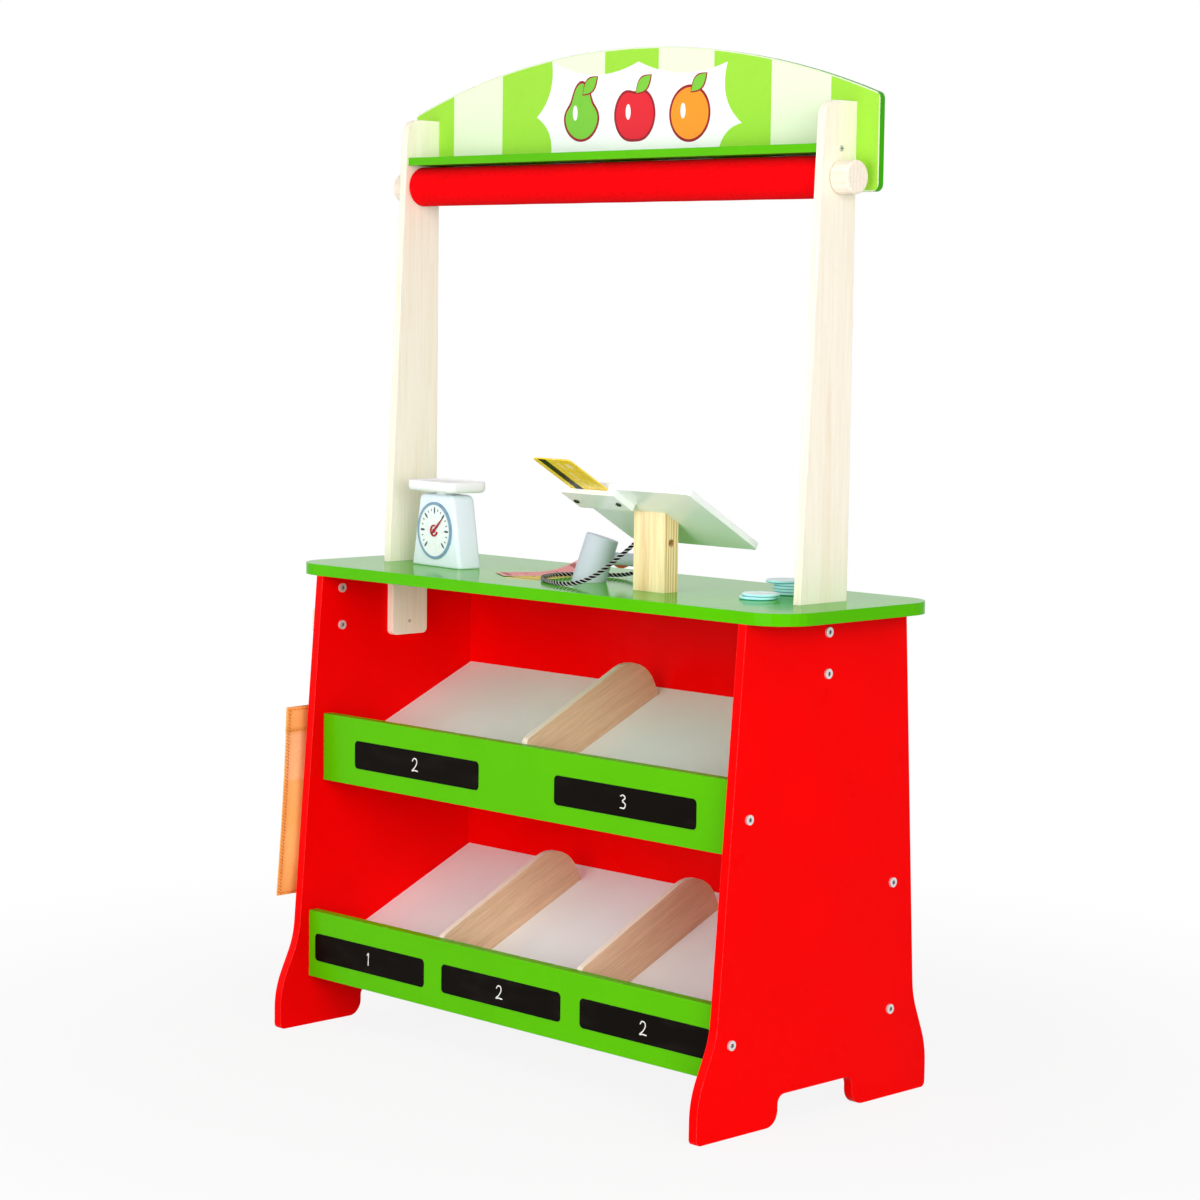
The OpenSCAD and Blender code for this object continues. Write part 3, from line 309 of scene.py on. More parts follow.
@dataclass(frozen=True)
class Lacquer:
    """Sprayed paint on board: an even colour, a faint orange peel, and eased edges painted paler, partly as
    wear and partly as a painted highlight.
    """

    name: str
    colour: Colour
    roughness: float = 0.3
    gloss: float = 0.15
    edge_r: float = 0.9
    # How far the edges are painted paler, for wear and for a painted highlight
    edge_wear_and_highlight: float = 0.35
    peel: float = 0.003

    def make(self) -> Material:
        """Mix the paint.

        Returns:
            The material.
        """
        recipe = Recipe(self.name)
        normal, edge = recipe.eased_edges(self.edge_r)
        drift = recipe.mottle(120, 2)
        body = recipe.mixed(drift, shaded(self.colour, 0.97), shaded(self.colour, 1.02))
        # Paler patches along every eased edge: partly worn paint, partly a painted highlight
        chips = recipe.ease(recipe.cloud(3.5, 3), 0.4, 0.7, 0.25, 1.0)
        worn_and_lit = recipe.times(recipe.times(edge, chips), self.edge_wear_and_highlight)
        colour = recipe.mixed(worn_and_lit, body, paler(self.colour, 0.4))
        roughness = recipe.mottle(60, 2, self.roughness * 0.9, self.roughness * 1.1)
        relief = recipe.bump(recipe.cloud(2.4, 1), self.peel, normal)
        return recipe.done(colour, roughness, relief, SpecularIORLevel=self.gloss)


@dataclass(frozen=True)
class Timber:
    """Varnished solid wood with long fibres, growth rings and fine pores."""

    name: str
    pale: Colour
    dark: Colour
    grain: Axis
    rings: Axis
    ring_gap: float = 7.0
    ring_share: float = 0.35
    roughness: float = 0.42

    def make(self) -> Material:
        """Mix the wood.

        Returns:
            The material.
        """
        recipe = Recipe(self.name)
        normal, _ = recipe.eased_edges(0.8)
        scale = [1.0, 1.0, 1.0]
        scale[self.grain.value] = 0.045
        fibres = recipe.stretched(scale)
        sway = recipe.times(recipe.cloud(26, 2, fibres), self.ring_gap * 1.6)
        across = recipe.math("ADD", recipe.along(self.rings, fibres), sway)
        year = recipe.math("FRACT", recipe.math("DIVIDE", across, self.ring_gap))
        late = recipe.times(recipe.ease(year, 0.35, 0.9), recipe.ease(year, 0.93, 1.0, 1.0, 0.0))
        streak = recipe.ease(recipe.cloud(3.2, 4, fibres), 0.35, 0.7)
        tint = recipe.math("ADD", recipe.times(late, self.ring_share), recipe.times(streak, 0.28))
        base = recipe.mixed(tint, self.pale, self.dark)
        pores = recipe.ease(recipe.cloud(0.55, 2, fibres), 0.62, 0.74)
        colour = recipe.mixed(recipe.times(pores, 0.22), base, shaded(self.dark, 0.7))
        roughness = recipe.ease(streak, 0.0, 1.0, self.roughness * 0.85, self.roughness * 1.15)
        relief = recipe.bump(recipe.cloud(0.8, 3, fibres), 0.02, normal)
        return recipe.done(colour, roughness, relief, SpecularIORLevel=0.12)


@dataclass(frozen=True)
class Plywood:
    """Birch plywood that shows its veneers on every edge across its thickness."""

    name: str
    pale: Colour
    dark: Colour
    slope: float
    veneer: float = 1.6

    def make(self) -> Material:
        """Mix the plywood.

        Returns:
            The material.
        """
        recipe = Recipe(self.name)
        normal, _ = recipe.eased_edges(0.5)
        fibres = recipe.stretched((1.0, 0.035, 1.0), recipe.turned(-self.slope))
        streak = recipe.ease(recipe.cloud(1.1, 4, fibres), 0.3, 0.72)
        broad = recipe.spread(recipe.cloud(9.0, 2, fibres))
        tint = recipe.math("ADD", recipe.times(streak, 0.45), recipe.times(broad, 0.3))
        face = recipe.mixed(tint, self.pale, self.dark)
        layer = recipe.math("FRACT", recipe.math("DIVIDE", recipe.along(Axis.X), self.veneer * 2))
        glue = recipe.ease(recipe.math("PINGPONG", layer, 0.5), 0.2, 0.3)
        end = recipe.mixed(recipe.times(glue, 0.4), paler(self.pale, 0.45), self.dark)
        turned = recipe.math("ABSOLUTE", recipe.facing(Axis.X))
        colour = recipe.mixed(recipe.ease(turned, 0.4, 0.6), end, face)
        relief = recipe.bump(recipe.cloud(0.7, 3, fibres), 0.03, normal)
        return recipe.done(colour, recipe.ease(streak, 0, 1, 0.42, 0.55), relief)


@dataclass(frozen=True)
class Slate:
    """Chalkboard paint with wiped chalk dust."""

    name: str
    colour: Colour

    def make(self) -> Material:
        """Mix the paint.

        Returns:
            The material.
        """
        recipe = Recipe(self.name)
        normal, _ = recipe.eased_edges(0.4)
        wiped = recipe.ease(recipe.cloud(22, 5, recipe.stretched((0.4, 1.0, 1.2))), 0.5, 0.8)
        colour = recipe.mixed(recipe.times(wiped, 0.02), self.colour, tone(150, 140, 130))
        relief = recipe.bump(recipe.cloud(0.5, 3), 0.01, normal)
        return recipe.done(colour, recipe.ease(wiped, 0, 1, 0.4, 0.55), relief, SpecularIORLevel=0.03)


@dataclass(frozen=True)
class Chalk:
    """Dusty white chalk that breaks up over the board's tooth."""

    name: str
    colour: Colour

    def make(self) -> Material:
        """Mix the chalk.

        Returns:
            The material.
        """
        recipe = Recipe(self.name)
        grit = recipe.cloud(0.5, 4)
        colour = recipe.mixed(recipe.ease(grit, 0.35, 0.6), shaded(self.colour, 0.72), self.colour)
        return recipe.done(colour, 0.9, recipe.bump(grit, 0.08))


@dataclass(frozen=True)
class StripedPrint:
    """Print of upright stripes on the arched sign, with an unprinted margin, over painted edges."""

    name: str
    dark: Colour
    light: Colour
    margin: Colour
    edge: Colour
    pitch: float
    low: float
    half_w: float
    arch_centre: Point
    arch_r: float
    margin_w: float = 1.4

    def make(self) -> Material:
        """Lay out the print.

        Returns:
            The material.
        """
        recipe = Recipe(self.name)
        normal, _ = recipe.eased_edges(1.2)
        x, z = recipe.along(Axis.X), recipe.along(Axis.Z)
        band = recipe.math("PINGPONG", recipe.math("ADD", x, self.pitch * 8), self.pitch)
        pale = recipe.ease(band, self.pitch / 2 - 0.12, self.pitch / 2 + 0.12)
        dots = recipe.mottle(0.9, 2)
        green = recipe.mixed(dots, shaded(self.dark, 0.97), shaded(self.dark, 1.03))
        print_ = recipe.mixed(pale, green, self.light)
        # The unprinted margin follows the arch, the two ends and the lower edge
        soft = 0.2
        flat = recipe.stretched((1.0, 0.0, 1.0))
        centre = (self.arch_centre[0], 0.0, self.arch_centre[2])
        out = recipe.away_from(centre, flat)
        arch_in, end_in = self.arch_r - self.margin_w, self.half_w - self.margin_w
        arch = recipe.ease(out, arch_in - soft, arch_in)
        ends = recipe.ease(recipe.math("ABSOLUTE", x), end_in - soft, end_in)
        foot = recipe.ease(z, self.low + self.margin_w, self.low + self.margin_w + soft, 1.0, 0.0)
        rim = recipe.most(recipe.most(arch, ends), foot)
        face = recipe.mixed(rim, print_, self.margin)
        colour = recipe.mixed(recipe.ease(recipe.facing(Axis.Y), -0.7, -0.6), face, self.edge)
        relief = recipe.bump(recipe.cloud(2.2, 2), 0.006, normal)
        return recipe.done(colour, recipe.mottle(25, 4, 0.26, 0.32), relief, SpecularIORLevel=0.04)


@dataclass(frozen=True)
class Metal:
    """Plated steel with fine turning marks and painted shade in its recesses."""

    name: str
    colour: Colour
    roughness: float = 0.34
    # How far ambient occlusion looks for recesses to paint shade into
    recess_shade_reach: float = 3.0

    def make(self) -> Material:
        """Mix the plating.

        Returns:
            The material.
        """
        recipe = Recipe(self.name)
        normal, _ = recipe.eased_edges(0.35)
        marks = recipe.cloud(0.6, 4)
        plated = recipe.mixed(recipe.mottle(3, 3), shaded(self.colour, 0.85), self.colour)
        # Painted shade: the colour falls to near black where ambient occlusion finds a recess
        depth = {"Distance": self.recess_shade_reach * MM}
        open_ = recipe.add("AmbientOcclusion", depth, samples=8, only_local=True).outputs["AO"]
        colour = recipe.mixed(recipe.ease(open_, 0.45, 0.85, 0.92, 0.0), plated, shaded(self.colour, 0.02))
        roughness = recipe.spread(marks, self.roughness * 0.75, self.roughness * 1.4)
        return recipe.done(colour, roughness, recipe.bump(marks, 0.01, normal), Metallic=0.55)


@dataclass(frozen=True)
class Felt:
    """Pressed wool felt: tangled fibres, a soft nap and a sheen at grazing angles."""

    name: str
    colour: Colour

    def make(self) -> Material:
        """Mix the felt.

        Returns:
            The material.
        """
        recipe = Recipe(self.name)
        tangle = recipe.cloud(0.7, 5)
        tufts = recipe.cloud(5, 4)
        base = recipe.mixed(recipe.spread(tufts), shaded(self.colour, 0.9), self.colour)
        stray = recipe.ease(recipe.cloud(1.1, 3, recipe.stretched((0.35, 1.2, 1.2))), 0.62, 0.78)
        colour = recipe.mixed(recipe.times(stray, 0.12), base, paler(self.colour, 0.12))
        relief = recipe.bump(tangle, 0.2, recipe.bump(tufts, 0.08))
        return recipe.done(colour, 0.95, relief, SpecularIORLevel=0.03, SheenWeight=0.05, SheenRoughness=0.5,
                           SheenTint=paler(self.colour, 0.15))


@dataclass(frozen=True)
class Yarn:
    """Twisted yarn with short stray fibres."""

    name: str
    colour: Colour
    roughness: float = 0.7

    def make(self) -> Material:
        """Mix the yarn.

        Returns:
            The material.
        """
        recipe = Recipe(self.name)
        fibres = recipe.cloud(0.35, 4)
        dark, pale = shaded(self.colour, 0.72), paler(self.colour, 0.006)
        colour = recipe.mixed(recipe.spread(fibres), dark, pale)
        return recipe.done(colour, self.roughness, recipe.bump(fibres, 0.05), SpecularIORLevel=0.1)


@dataclass(frozen=True)
class BondedCloth:
    """Non-woven cloth: matted fibres pressed together by a grid of small bonding points."""

    name: str
    colour: Colour
    # Heights of the paler band, which is painted light through a single layer
    thin: Flat
    # Height of the crease at the hem's lower edge, where shade is painted
    crease: float
    grid: float = 1.5

    def make(self) -> Material:
        """Mix the cloth, paler where a single layer lets light through, which is painted light, and with
        painted shade along its crease.

        Returns:
            The material.
        """
        recipe = Recipe(self.name)
        z = recipe.math("ADD", recipe.along(Axis.Z), recipe.mottle(60, 1, -2.0, 2.0))
        turned = recipe.turned(45)
        cells = [recipe.math("PINGPONG", recipe.along(axis, turned), self.grid) for axis in (Axis.Y, Axis.Z)]
        points = recipe.times(*[recipe.ease(cell, self.grid * 0.55, self.grid) for cell in cells])
        matted = recipe.cloud(2.2, 6)
        drift = recipe.mottle(45, 4)
        thick = recipe.mixed(drift, shaded(self.colour, 0.92), paler(self.colour, 0.04))
        # Painted light: a paler band where a single layer lets light through
        base = recipe.mixed(recipe.inside(z, *self.thin, 3.0), thick, paler(self.colour, 0.16))
        between = shaded(deeper(self.colour), 0.93)
        fibre = recipe.mixed(recipe.ease(matted, 0.35, 0.7, 0.6, 1.0), between, base)
        # Painted shade along the crease at the lower edge of the hem
        fold = recipe.inside(z, self.crease - 2.2, self.crease + 2.2, 1.4)
        crease_shaded = recipe.mixed(recipe.times(fold, 0.6), fibre, deeper(shaded(self.colour, 0.72)))
        colour = recipe.mixed(recipe.times(points, 0.3), crease_shaded, shaded(self.colour, 0.8))
        pressed = recipe.bump(recipe.math("SUBTRACT", 1.0, points), 0.06, recipe.bump(matted, 0.08))
        return recipe.done(colour, 0.8, pressed, SpecularIORLevel=0.08)


@dataclass(frozen=True)
class NotePaper:
    """Printed play money: a pale margin, fine wavy lines and a plain oval in the middle."""

    name: str
    colour: Colour
    ink: Colour
    half_l: float
    half_w: float

    def make(self) -> Material:
        """Lay out the print.

        Returns:
            The material.
        """
        recipe = Recipe(self.name)
        x, y = recipe.along(Axis.X), recipe.along(Axis.Y)
        wave = recipe.times(recipe.math("SINE", recipe.times(x, 0.32)), 1.6)
        lines = recipe.math("PINGPONG", recipe.math("ADD", y, wave), 1.1)
        ink = recipe.ease(lines, 0.75, 0.95)
        oval = recipe.away_from((0.0, 0.0, 0.0), recipe.stretched((0.72, 1.0, 0.0)))
        ring = recipe.inside(oval, 12.5, 14.0)
        plain = recipe.ease(oval, 14.0, 14.3)
        waves = recipe.times(ink, recipe.times(plain, 0.5))
        bands = recipe.inside(recipe.math("ABSOLUTE", x), self.half_l - 11.0, self.half_l - 5.0)
        pattern = recipe.most(recipe.most(waves, bands), ring)
        edges = [recipe.ease(recipe.math("ABSOLUTE", way), half - 3.4, half - 3.0)
                 for way, half in ((x, self.half_l), (y, self.half_w))]
        margin = recipe.most(*edges)
        printed = recipe.mixed(recipe.times(pattern, 0.8), self.colour, self.ink)
        colour = recipe.mixed(margin, printed, paler(self.colour, 0.25))
        fibre = recipe.cloud(1.2, 5)
        return recipe.done(colour, recipe.spread(fibre, 0.5, 0.62), recipe.bump(fibre, 0.02))


@dataclass(frozen=True)
class CardPrint:
    """Plastic play card with a dark stripe along one long edge, a pale square and a row of pale dashes."""

    name: str
    colour: Colour
    stripe: Colour
    stripe_x: Flat
    dash_x: Flat
    square_x: Flat
    square_y: Flat

    def make(self) -> Material:
        """Lay out the print.

        Returns:
            The material.
        """
        recipe = Recipe(self.name)
        normal, _ = recipe.eased_edges(0.3)
        x, y = recipe.along(Axis.X), recipe.along(Axis.Y)
        sheen = recipe.mottle(22, 3)
        base = recipe.mixed(sheen, shaded(self.colour, 0.95), paler(self.colour, 0.03))
        below = recipe.ease(recipe.facing(Axis.Z), -0.3, 0.3, 1.0, 0.0)
        band = recipe.times(recipe.inside(x, *self.stripe_x), below)
        gaps = recipe.ease(recipe.math("PINGPONG", y, 1.6), 0.5, 0.7)
        groups = recipe.ease(recipe.math("PINGPONG", y, 9.0), 1.6, 1.9)
        dashes = recipe.times(recipe.times(gaps, groups), recipe.inside(x, *self.dash_x))
        square = recipe.times(recipe.inside(x, *self.square_x), recipe.inside(y, *self.square_y))
        marks = recipe.times(recipe.most(dashes, square), 0.6)
        colour = recipe.mixed(band, recipe.mixed(marks, base, paler(self.colour, 0.75)), self.stripe)
        return recipe.done(colour, recipe.ease(sheen, 0, 1, 0.25, 0.35), normal, SpecularIORLevel=0.15)


@dataclass(frozen=True)
class DialPrint:
    """White dial face inside a painted rim."""

    name: str
    face: Colour
    rim: Colour
    centre: Point
    face_r: float

    def make(self) -> Material:
        """Lay out the print.

        Returns:
            The material.
        """
        recipe = Recipe(self.name)
        normal, _ = recipe.eased_edges(0.4)
        out = recipe.away_from(self.centre)
        mottle = recipe.mottle(9, 4)
        face = recipe.mixed(mottle, shaded(self.face, 0.97), self.face)
        rim = recipe.mixed(mottle, shaded(self.rim, 0.88), self.rim)
        colour = recipe.mixed(recipe.ease(out, self.face_r - 0.15, self.face_r + 0.15), face, rim)
        return recipe.done(colour, recipe.ease(mottle, 0, 1, 0.26, 0.36), normal)


Finish = (Lacquer | Timber | Plywood | Slate | Chalk | StripedPrint | Metal | Felt | Yarn | BondedCloth
          | NotePaper | CardPrint | DialPrint)


@functools.cache
def made(finish: Finish) -> Material:
    """Make a finish once and hand out the same material after that."""
    return finish.make()


COUNTER_GREEN = Lacquer("counter_green", tone(84, 187, 1), 0.12, 0.03)
GREEN = Lacquer("green_lacquer", tone(88, 186, 1), 0.26, 0.05)
RED = Lacquer("red_lacquer", tone(252, 1, 2), 0.3, 0.025)
SHELF_WHITE = Lacquer("shelf_white", tone(248, 254, 255), 0.42)
TILL_WHITE = Lacquer("till_white", tone(246, 249, 248), 0.16, 0.3)
PAN_WHITE = Lacquer("pan_white", tone(248, 248, 249), 0.36)
SCALE_BLUE = Lacquer("scale_pale_blue", tone(234, 242, 252), 0.36)
SCANNER_GREY = Lacquer("scanner_grey", tone(196, 204, 214), 0.4, edge_r=1.2)
TRIGGER_BROWN = Lacquer("trigger_brown", tone(186, 84, 40), 0.4, edge_r=0.5)
COIN_FACE = Lacquer("coin_face", tone(232, 251, 254), 0.26, 0.1, edge_r=0.3)
COIN_EDGE = Lacquer("coin_edge", tone(192, 248, 255), 0.26, 0.1, edge_r=0.3)
# Teal band on each coin's lower bevel: painted shadow in the gap between stacked coins
COIN_GAP_SHADOW = Lacquer("coin_gap_shadow", tone(66, 184, 204), 0.3, 0.1, edge_r=0.1)
MAPLE_UPRIGHT = Timber("maple_upright", tone(254, 246, 230), tone(238, 218, 184), Axis.Z, Axis.X, 9.0, 0.2)
MAPLE_ROUND = Timber("maple_round", tone(253, 243, 228), tone(232, 208, 176), Axis.X, Axis.Y, 5.0, 0.3)
PINE = Timber("pine", tone(252, 232, 184), tone(206, 148, 78), Axis.Z, Axis.Y, 4.2, 0.7)
# Dark pine for the rope's plug, also used as the painted shade of the screw holes in the posts' tongues
DARK_PINE_AND_HOLE_SHADE = Timber("dark_pine_and_hole_shade", tone(118, 82, 48), tone(70, 46, 26), Axis.X, Axis.Z, 3.0, 0.5)
BIRCH = Plywood("birch_ply", tone(236, 206, 172), tone(206, 168, 128), 24.0)
SLATE = Slate("slate_paint", tone(12, 8, 4))
CHALK = Chalk("chalk_white", tone(242, 242, 238))
STEEL = Metal("bright_steel", tone(228, 226, 226))
DARK_STEEL = Metal("dark_steel", tone(58, 56, 54), 0.4)
RED_FELT = Felt("red_felt", tone(250, 3, 12))
BLACK_YARN = Yarn("black_yarn", tone(14, 14, 16))
WHITE_YARN = Yarn("white_yarn", tone(222, 224, 224))
# Its paler band is painted light through a single layer, and its crease gets painted shade
ORANGE_CLOTH = BondedCloth("orange_cloth", tone(253, 182, 102), (286.0, 341.0), 344.5)
ORANGE_THREAD = Yarn("orange_thread", tone(244, 148, 48))
POINTER_RED = Lacquer("pointer_red", tone(170, 14, 26), 0.3, edge_r=0.2)
TICK_INK = Lacquer("tick_ink", tone(58, 80, 88), 0.5, edge_r=0.05)
PLAQUE_WHITE = Lacquer("plaque_white", tone(250, 250, 252), 0.3, edge_r=0.1)
FRUIT_RED = Lacquer("fruit_red", tone(226, 26, 44), 0.3, edge_r=0.05)
FRUIT_DARK = Lacquer("fruit_dark", tone(150, 12, 30), 0.3, edge_r=0.05)
FRUIT_GREEN = Lacquer("fruit_green", tone(122, 200, 54), 0.3, edge_r=0.05)
FRUIT_ORANGE = Lacquer("fruit_orange", tone(252, 150, 32), 0.3, edge_r=0.05)
KEY_GREY = Lacquer("key_grey", tone(206, 214, 216), 0.4, edge_r=0.3)
KEY_INK = Lacquer("key_ink", tone(52, 62, 68), 0.5, edge_r=0.05)
SCREEN = Lacquer("screen_green", tone(120, 152, 120), 0.12, 0.3, edge_r=0.2)


# Shapes


def smooth_path(points: Sequence[Sequence[float]], steps: int) -> list[Vector]:
    """Draw one smooth curve through points.

    Args:
        points: Points that the curve goes through.
        steps: Points on each stretch between two of them.

    Returns:
        The points of the curve, first and last included.
    """
    knots = [Vector(p) for p in points]
    knots = [knots[0] * 2 - knots[1], *knots, knots[-1] * 2 - knots[-2]]
    curve = []
    for a, b, c, d in zip(knots, knots[1:], knots[2:], knots[3:]):
        for i in range(steps):
            t = i / steps
            curve.append(0.5 * (b * 2 + (c - a) * t + (a * 2 - b * 5 + c * 4 - d) * t ** 2
                                + (b * 3 - a - c * 3 + d) * t ** 3))
    return [*curve, knots[-2]]


def headings(path: Sequence[Vector]) -> list[Vector]:
    """Give the direction of a path at each of its points."""
    last = len(path) - 1
    return [(path[min(i + 1, last)] - path[max(i - 1, 0)]).normalized() for i in range(len(path))]


def frames_along(path: Sequence[Vector]) -> list[tuple[Vector, Vector, Vector]]:
    """Carry a cross-section along a path without twisting it.

    Args:
        path: Points of the path.

    Returns:
        For each point, the place and two directions across the path.
    """
    aims = headings(path)
    side = aims[0].orthogonal().normalized()
    frames = []
    for place, aim in zip(path, aims):
        side = (side - aim * side.dot(aim)).normalized()
        frames.append((place, side, aim.cross(side)))
    return frames


def rounded_box(width: float, height: float, radius: float, steps: int = 5) -> list[Flat]:
    """Draw a rectangle with round corners about the origin.

    Args:
        width: Its width.
        height: Its height.
        radius: Radius of its corners.
        steps: Stretches that a corner is drawn with.

    Returns:
        Its outline, anticlockwise.
    """
    corners = [(1, 1, 0), (-1, 1, 90), (-1, -1, 180), (1, -1, 270)]
    outline = []
    for sign_x, sign_y, start in corners:
        for i in range(steps + 1):
            turn = math.radians(start + 90 * i / steps)
            outline.append((sign_x * (width / 2 - radius) + radius * math.cos(turn),
                            sign_y * (height / 2 - radius) + radius * math.sin(turn)))
    return outline


def circle(radius: float, steps: int) -> list[Flat]:
    """Draw a circle about the origin."""
    turns = [math.tau * k / steps for k in range(steps)]
    return [(radius * math.cos(t), radius * math.sin(t)) for t in turns]


def clamped(share: float) -> float:
    """Keep a share between zero and one."""
    return min(1.0, max(0.0, share))


def bell(off: float, width: float) -> float:
    """Give one in the middle of a bump and less away from it."""
    return math.exp(-(off / width) ** 2)


def turned_by(degrees: float) -> Matrix:
    """Turn anticlockwise about Z."""
    return Matrix.Rotation(math.radians(degrees), 4, "Z")


def placed(name: str, data: bpy.types.ID) -> Piece:
    """Add an object to the scene.

    Args:
        name: Its name.
        data: Its mesh, camera or lamp.

    Returns:
        The object.
    """
    piece = bpy.data.objects.new(name, data)
    bpy.context.scene.collection.objects.link(piece)
    return piece


class Shape:
    """Points and faces of one piece in the making."""

    def __init__(self) -> None:
        """Start with nothing."""
        self.points: list[Vector] = []
        self.faces: list[tuple[int, ...]] = []
        self.coats: list[int] = []

    def row(self, points: Iterable[Sequence[float]]) -> list[int]:
        """Add a row of points.

        Args:
            points: The points.

        Returns:
            Their numbers.
        """
        first = len(self.points)
        self.points.extend(Vector(p) for p in points)
        return list(range(first, len(self.points)))

    def face(self, corners: Sequence[int], coat: int = 0) -> None:
        """Add one face in a coat of paint."""
        self.faces.append(tuple(corners))
        self.coats.append(coat)

    def skin(self, rows: Sequence[list[int]], closed: bool = True, coat: int = 0) -> None:
        """Lay quads between rows of points that follow each other.

        Args:
            rows: Rows with as many points each.
            closed: Whether a row goes round.
            coat: Number of the finish.
        """
        for low, high in zip(rows, rows[1:]):
            for i in range(len(low) if closed else len(low) - 1):
                j = (i + 1) % len(low)
                self.face((low[i], low[j], high[j], high[i]), coat)

    def sheet(self, outer: Sequence[list[int]], inner: Sequence[list[int]]) -> None:
        """Make a thin sheet from the rows of its two faces, and close its four edges.

        Args:
            outer: Rows of the face whose quads turn outwards as they are.
            inner: Rows of the other face, in the same order.
        """
        self.skin(outer, False)
        self.skin(inner[::-1], False)
        self.skin([[row[0] for row in outer], [row[0] for row in inner]], False)
        self.skin([[row[-1] for row in inner], [row[-1] for row in outer]], False)
        self.skin([inner[0], outer[0]], False)
        self.skin([outer[-1], inner[-1]], False)

    def closed(self, rows: Sequence[list[int]], coat: int = 0) -> None:
        """Lay a skin over rows that go round, and close both of its ends.

        Args:
            rows: Rows with as many points each.
            coat: Number of the finish.
        """
        self.skin(rows, True, coat)
        self.face(rows[0][::-1], coat)
        self.face(rows[-1], coat)

    def plate(self, outline: Sequence[Flat], low: float, high: float, at: Matrix, coat: int = 0,
              ease: float = 0.0) -> None:
        """Make an outline solid between two levels.

        Args:
            outline: Points of the outline, anticlockwise seen from above.
            low: Level of its underside.
            high: Level of its top.
            at: Where it goes.
            coat: Number of the finish.
            ease: How far its top edge is eased.
        """
        middle = Vector((sum(p[0] for p in outline), sum(p[1] for p in outline))) / len(outline)

        def level(height: float, inset: float) -> list[int]:
            """Add the outline once.

            Args:
                height: Its height.
                inset: How far it is drawn in towards its middle.

            Returns:
                Numbers of its points.
            """
            drawn = []
            for p in outline:
                reach = (Vector(p) - middle).length
                share = 1 - inset / reach if reach > inset else 0.0
                drawn.append(at @ Vector((*(middle + (Vector(p) - middle) * share), height)))
            return self.row(drawn)

        rows = [level(low, 0), level(high - ease, 0)]
        if ease:
            rows.append(level(high, ease))
        self.closed(rows, coat)

    def tube(self, path: Sequence[Vector], radius: float, sides: int, coat: int = 0) -> None:
        """Sweep a round section along a path and close its ends.

        Args:
            path: Points of the path.
            radius: Radius of the section.
            sides: Sides that the section is drawn with.
            coat: Number of the finish.
        """
        rows = []
        for place, side, up in frames_along(path):
            rows.append(self.row(place + (side * x + up * y) * radius for x, y in circle(1.0, sides)))
        self.closed(rows, coat)

    def stroke(self, path: Sequence[Vector], width: float, height: float, at: Matrix) -> None:
        """Draw a flat, slightly raised stroke in a plane.

        Args:
            path: Points in the plane.
            width: Width of the stroke.
            height: How far it stands out of the plane.
            at: The plane, with its Z towards the viewer.
        """
        rows = []
        tapers = [0.55, *[1.0] * (len(path) - 2), 0.55]
        for place, ahead, taper in zip(path, headings(path), tapers):
            across = Vector((-ahead.y, ahead.x, 0))
            half = width / 2 * taper * (1 + 0.3 * noise.noise(place * 0.9))
            section = [(-half, 0.0), (half, 0.0), (half * 0.6, height), (-half * 0.6, height)]
            rows.append(self.row(at @ (place + across * a + Vector((0, 0, h))) for a, h in section))
        self.closed(rows)

    def piece(self, name: str, body: str | None, slot: str, *finishes: Finish, at: Matrix | None = None,
              sharp: float = 38, stands_for: str = "") -> Piece:
        """Turn the shape into a piece of the scene.

        Args:
            name: Name of the piece.
            body: CAD body that it rides on, or None where it spans two bodies.
            slot: The record's material slot; not used.
            finishes: Its coats, in the order of their numbers.
            at: Where its own origin goes, in millimetres.
            sharp: Angle in degrees above which an edge stays sharp.
            stands_for: CAD node that it replaces, if any.

        Returns:
            The new object.
        """
        mesh = bpy.data.meshes.new(name)
        mesh.from_pydata([p * MM for p in self.points], [], self.faces)
        for finish in finishes:
            mesh.materials.append(made(finish))
        mesh.polygons.foreach_set("material_index", self.coats)
        mesh.polygons.foreach_set("use_smooth", [True] * len(self.faces))
        mesh.set_sharp_from_angle(angle=math.radians(sharp))
        mesh.validate()
        piece = placed(name, mesh)
        if at is not None:
            piece.matrix_world = Matrix.Translation(at.translation * MM) @ at.to_3x3().to_4x4()
        if body:
            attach(piece, body)
            log.info("%s rides on %s", name, body)
        if stands_for:
            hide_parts(stands_for)
        return piece


def dress(finish: Finish, *nodes: str) -> None:
    """Give CAD nodes a finish.

    Args:
        finish: The finish.
        nodes: Names of the nodes.
    """
    for node in nodes:
        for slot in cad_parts[node].material_slots:
            slot.material = made(finish)
        log.info("dressed %s in %s", node, finish.name)


def plane(origin: Sequence[float], right: Sequence[float], up: Sequence[float]) -> Matrix:
    """Set up a drawing plane.

    Args:
        origin: Its origin.
        right: Direction of its X.
        up: Direction of its Y.

    Returns:
        The matrix from the plane to the frame, with Z out of the plane.
    """
    x, y = Vector(right).normalized(), Vector(up).normalized()
    turn = Matrix((x, y, x.cross(y))).transposed()
    return Matrix.Translation(origin) @ turn.to_4x4()


# The studio


def seen_share(tree: bpy.types.NodeTree) -> Socket:
    """Tell what the camera sees from what only lights the stall.

    Args:
        tree: The nodes that it joins.

    Returns:
        One for what is seen directly, in gloss or through glass, and else zero.
    """
    rays = add_node(tree, "LightPath").outputs
    total = rays["Is Camera Ray"]
    for name in ("Is Glossy Ray", "Is Transmission Ray"):
        total = add_node(tree, "Math", {0: total, 1: rays[name]}, operation="MAXIMUM").outputs[0]
    return total


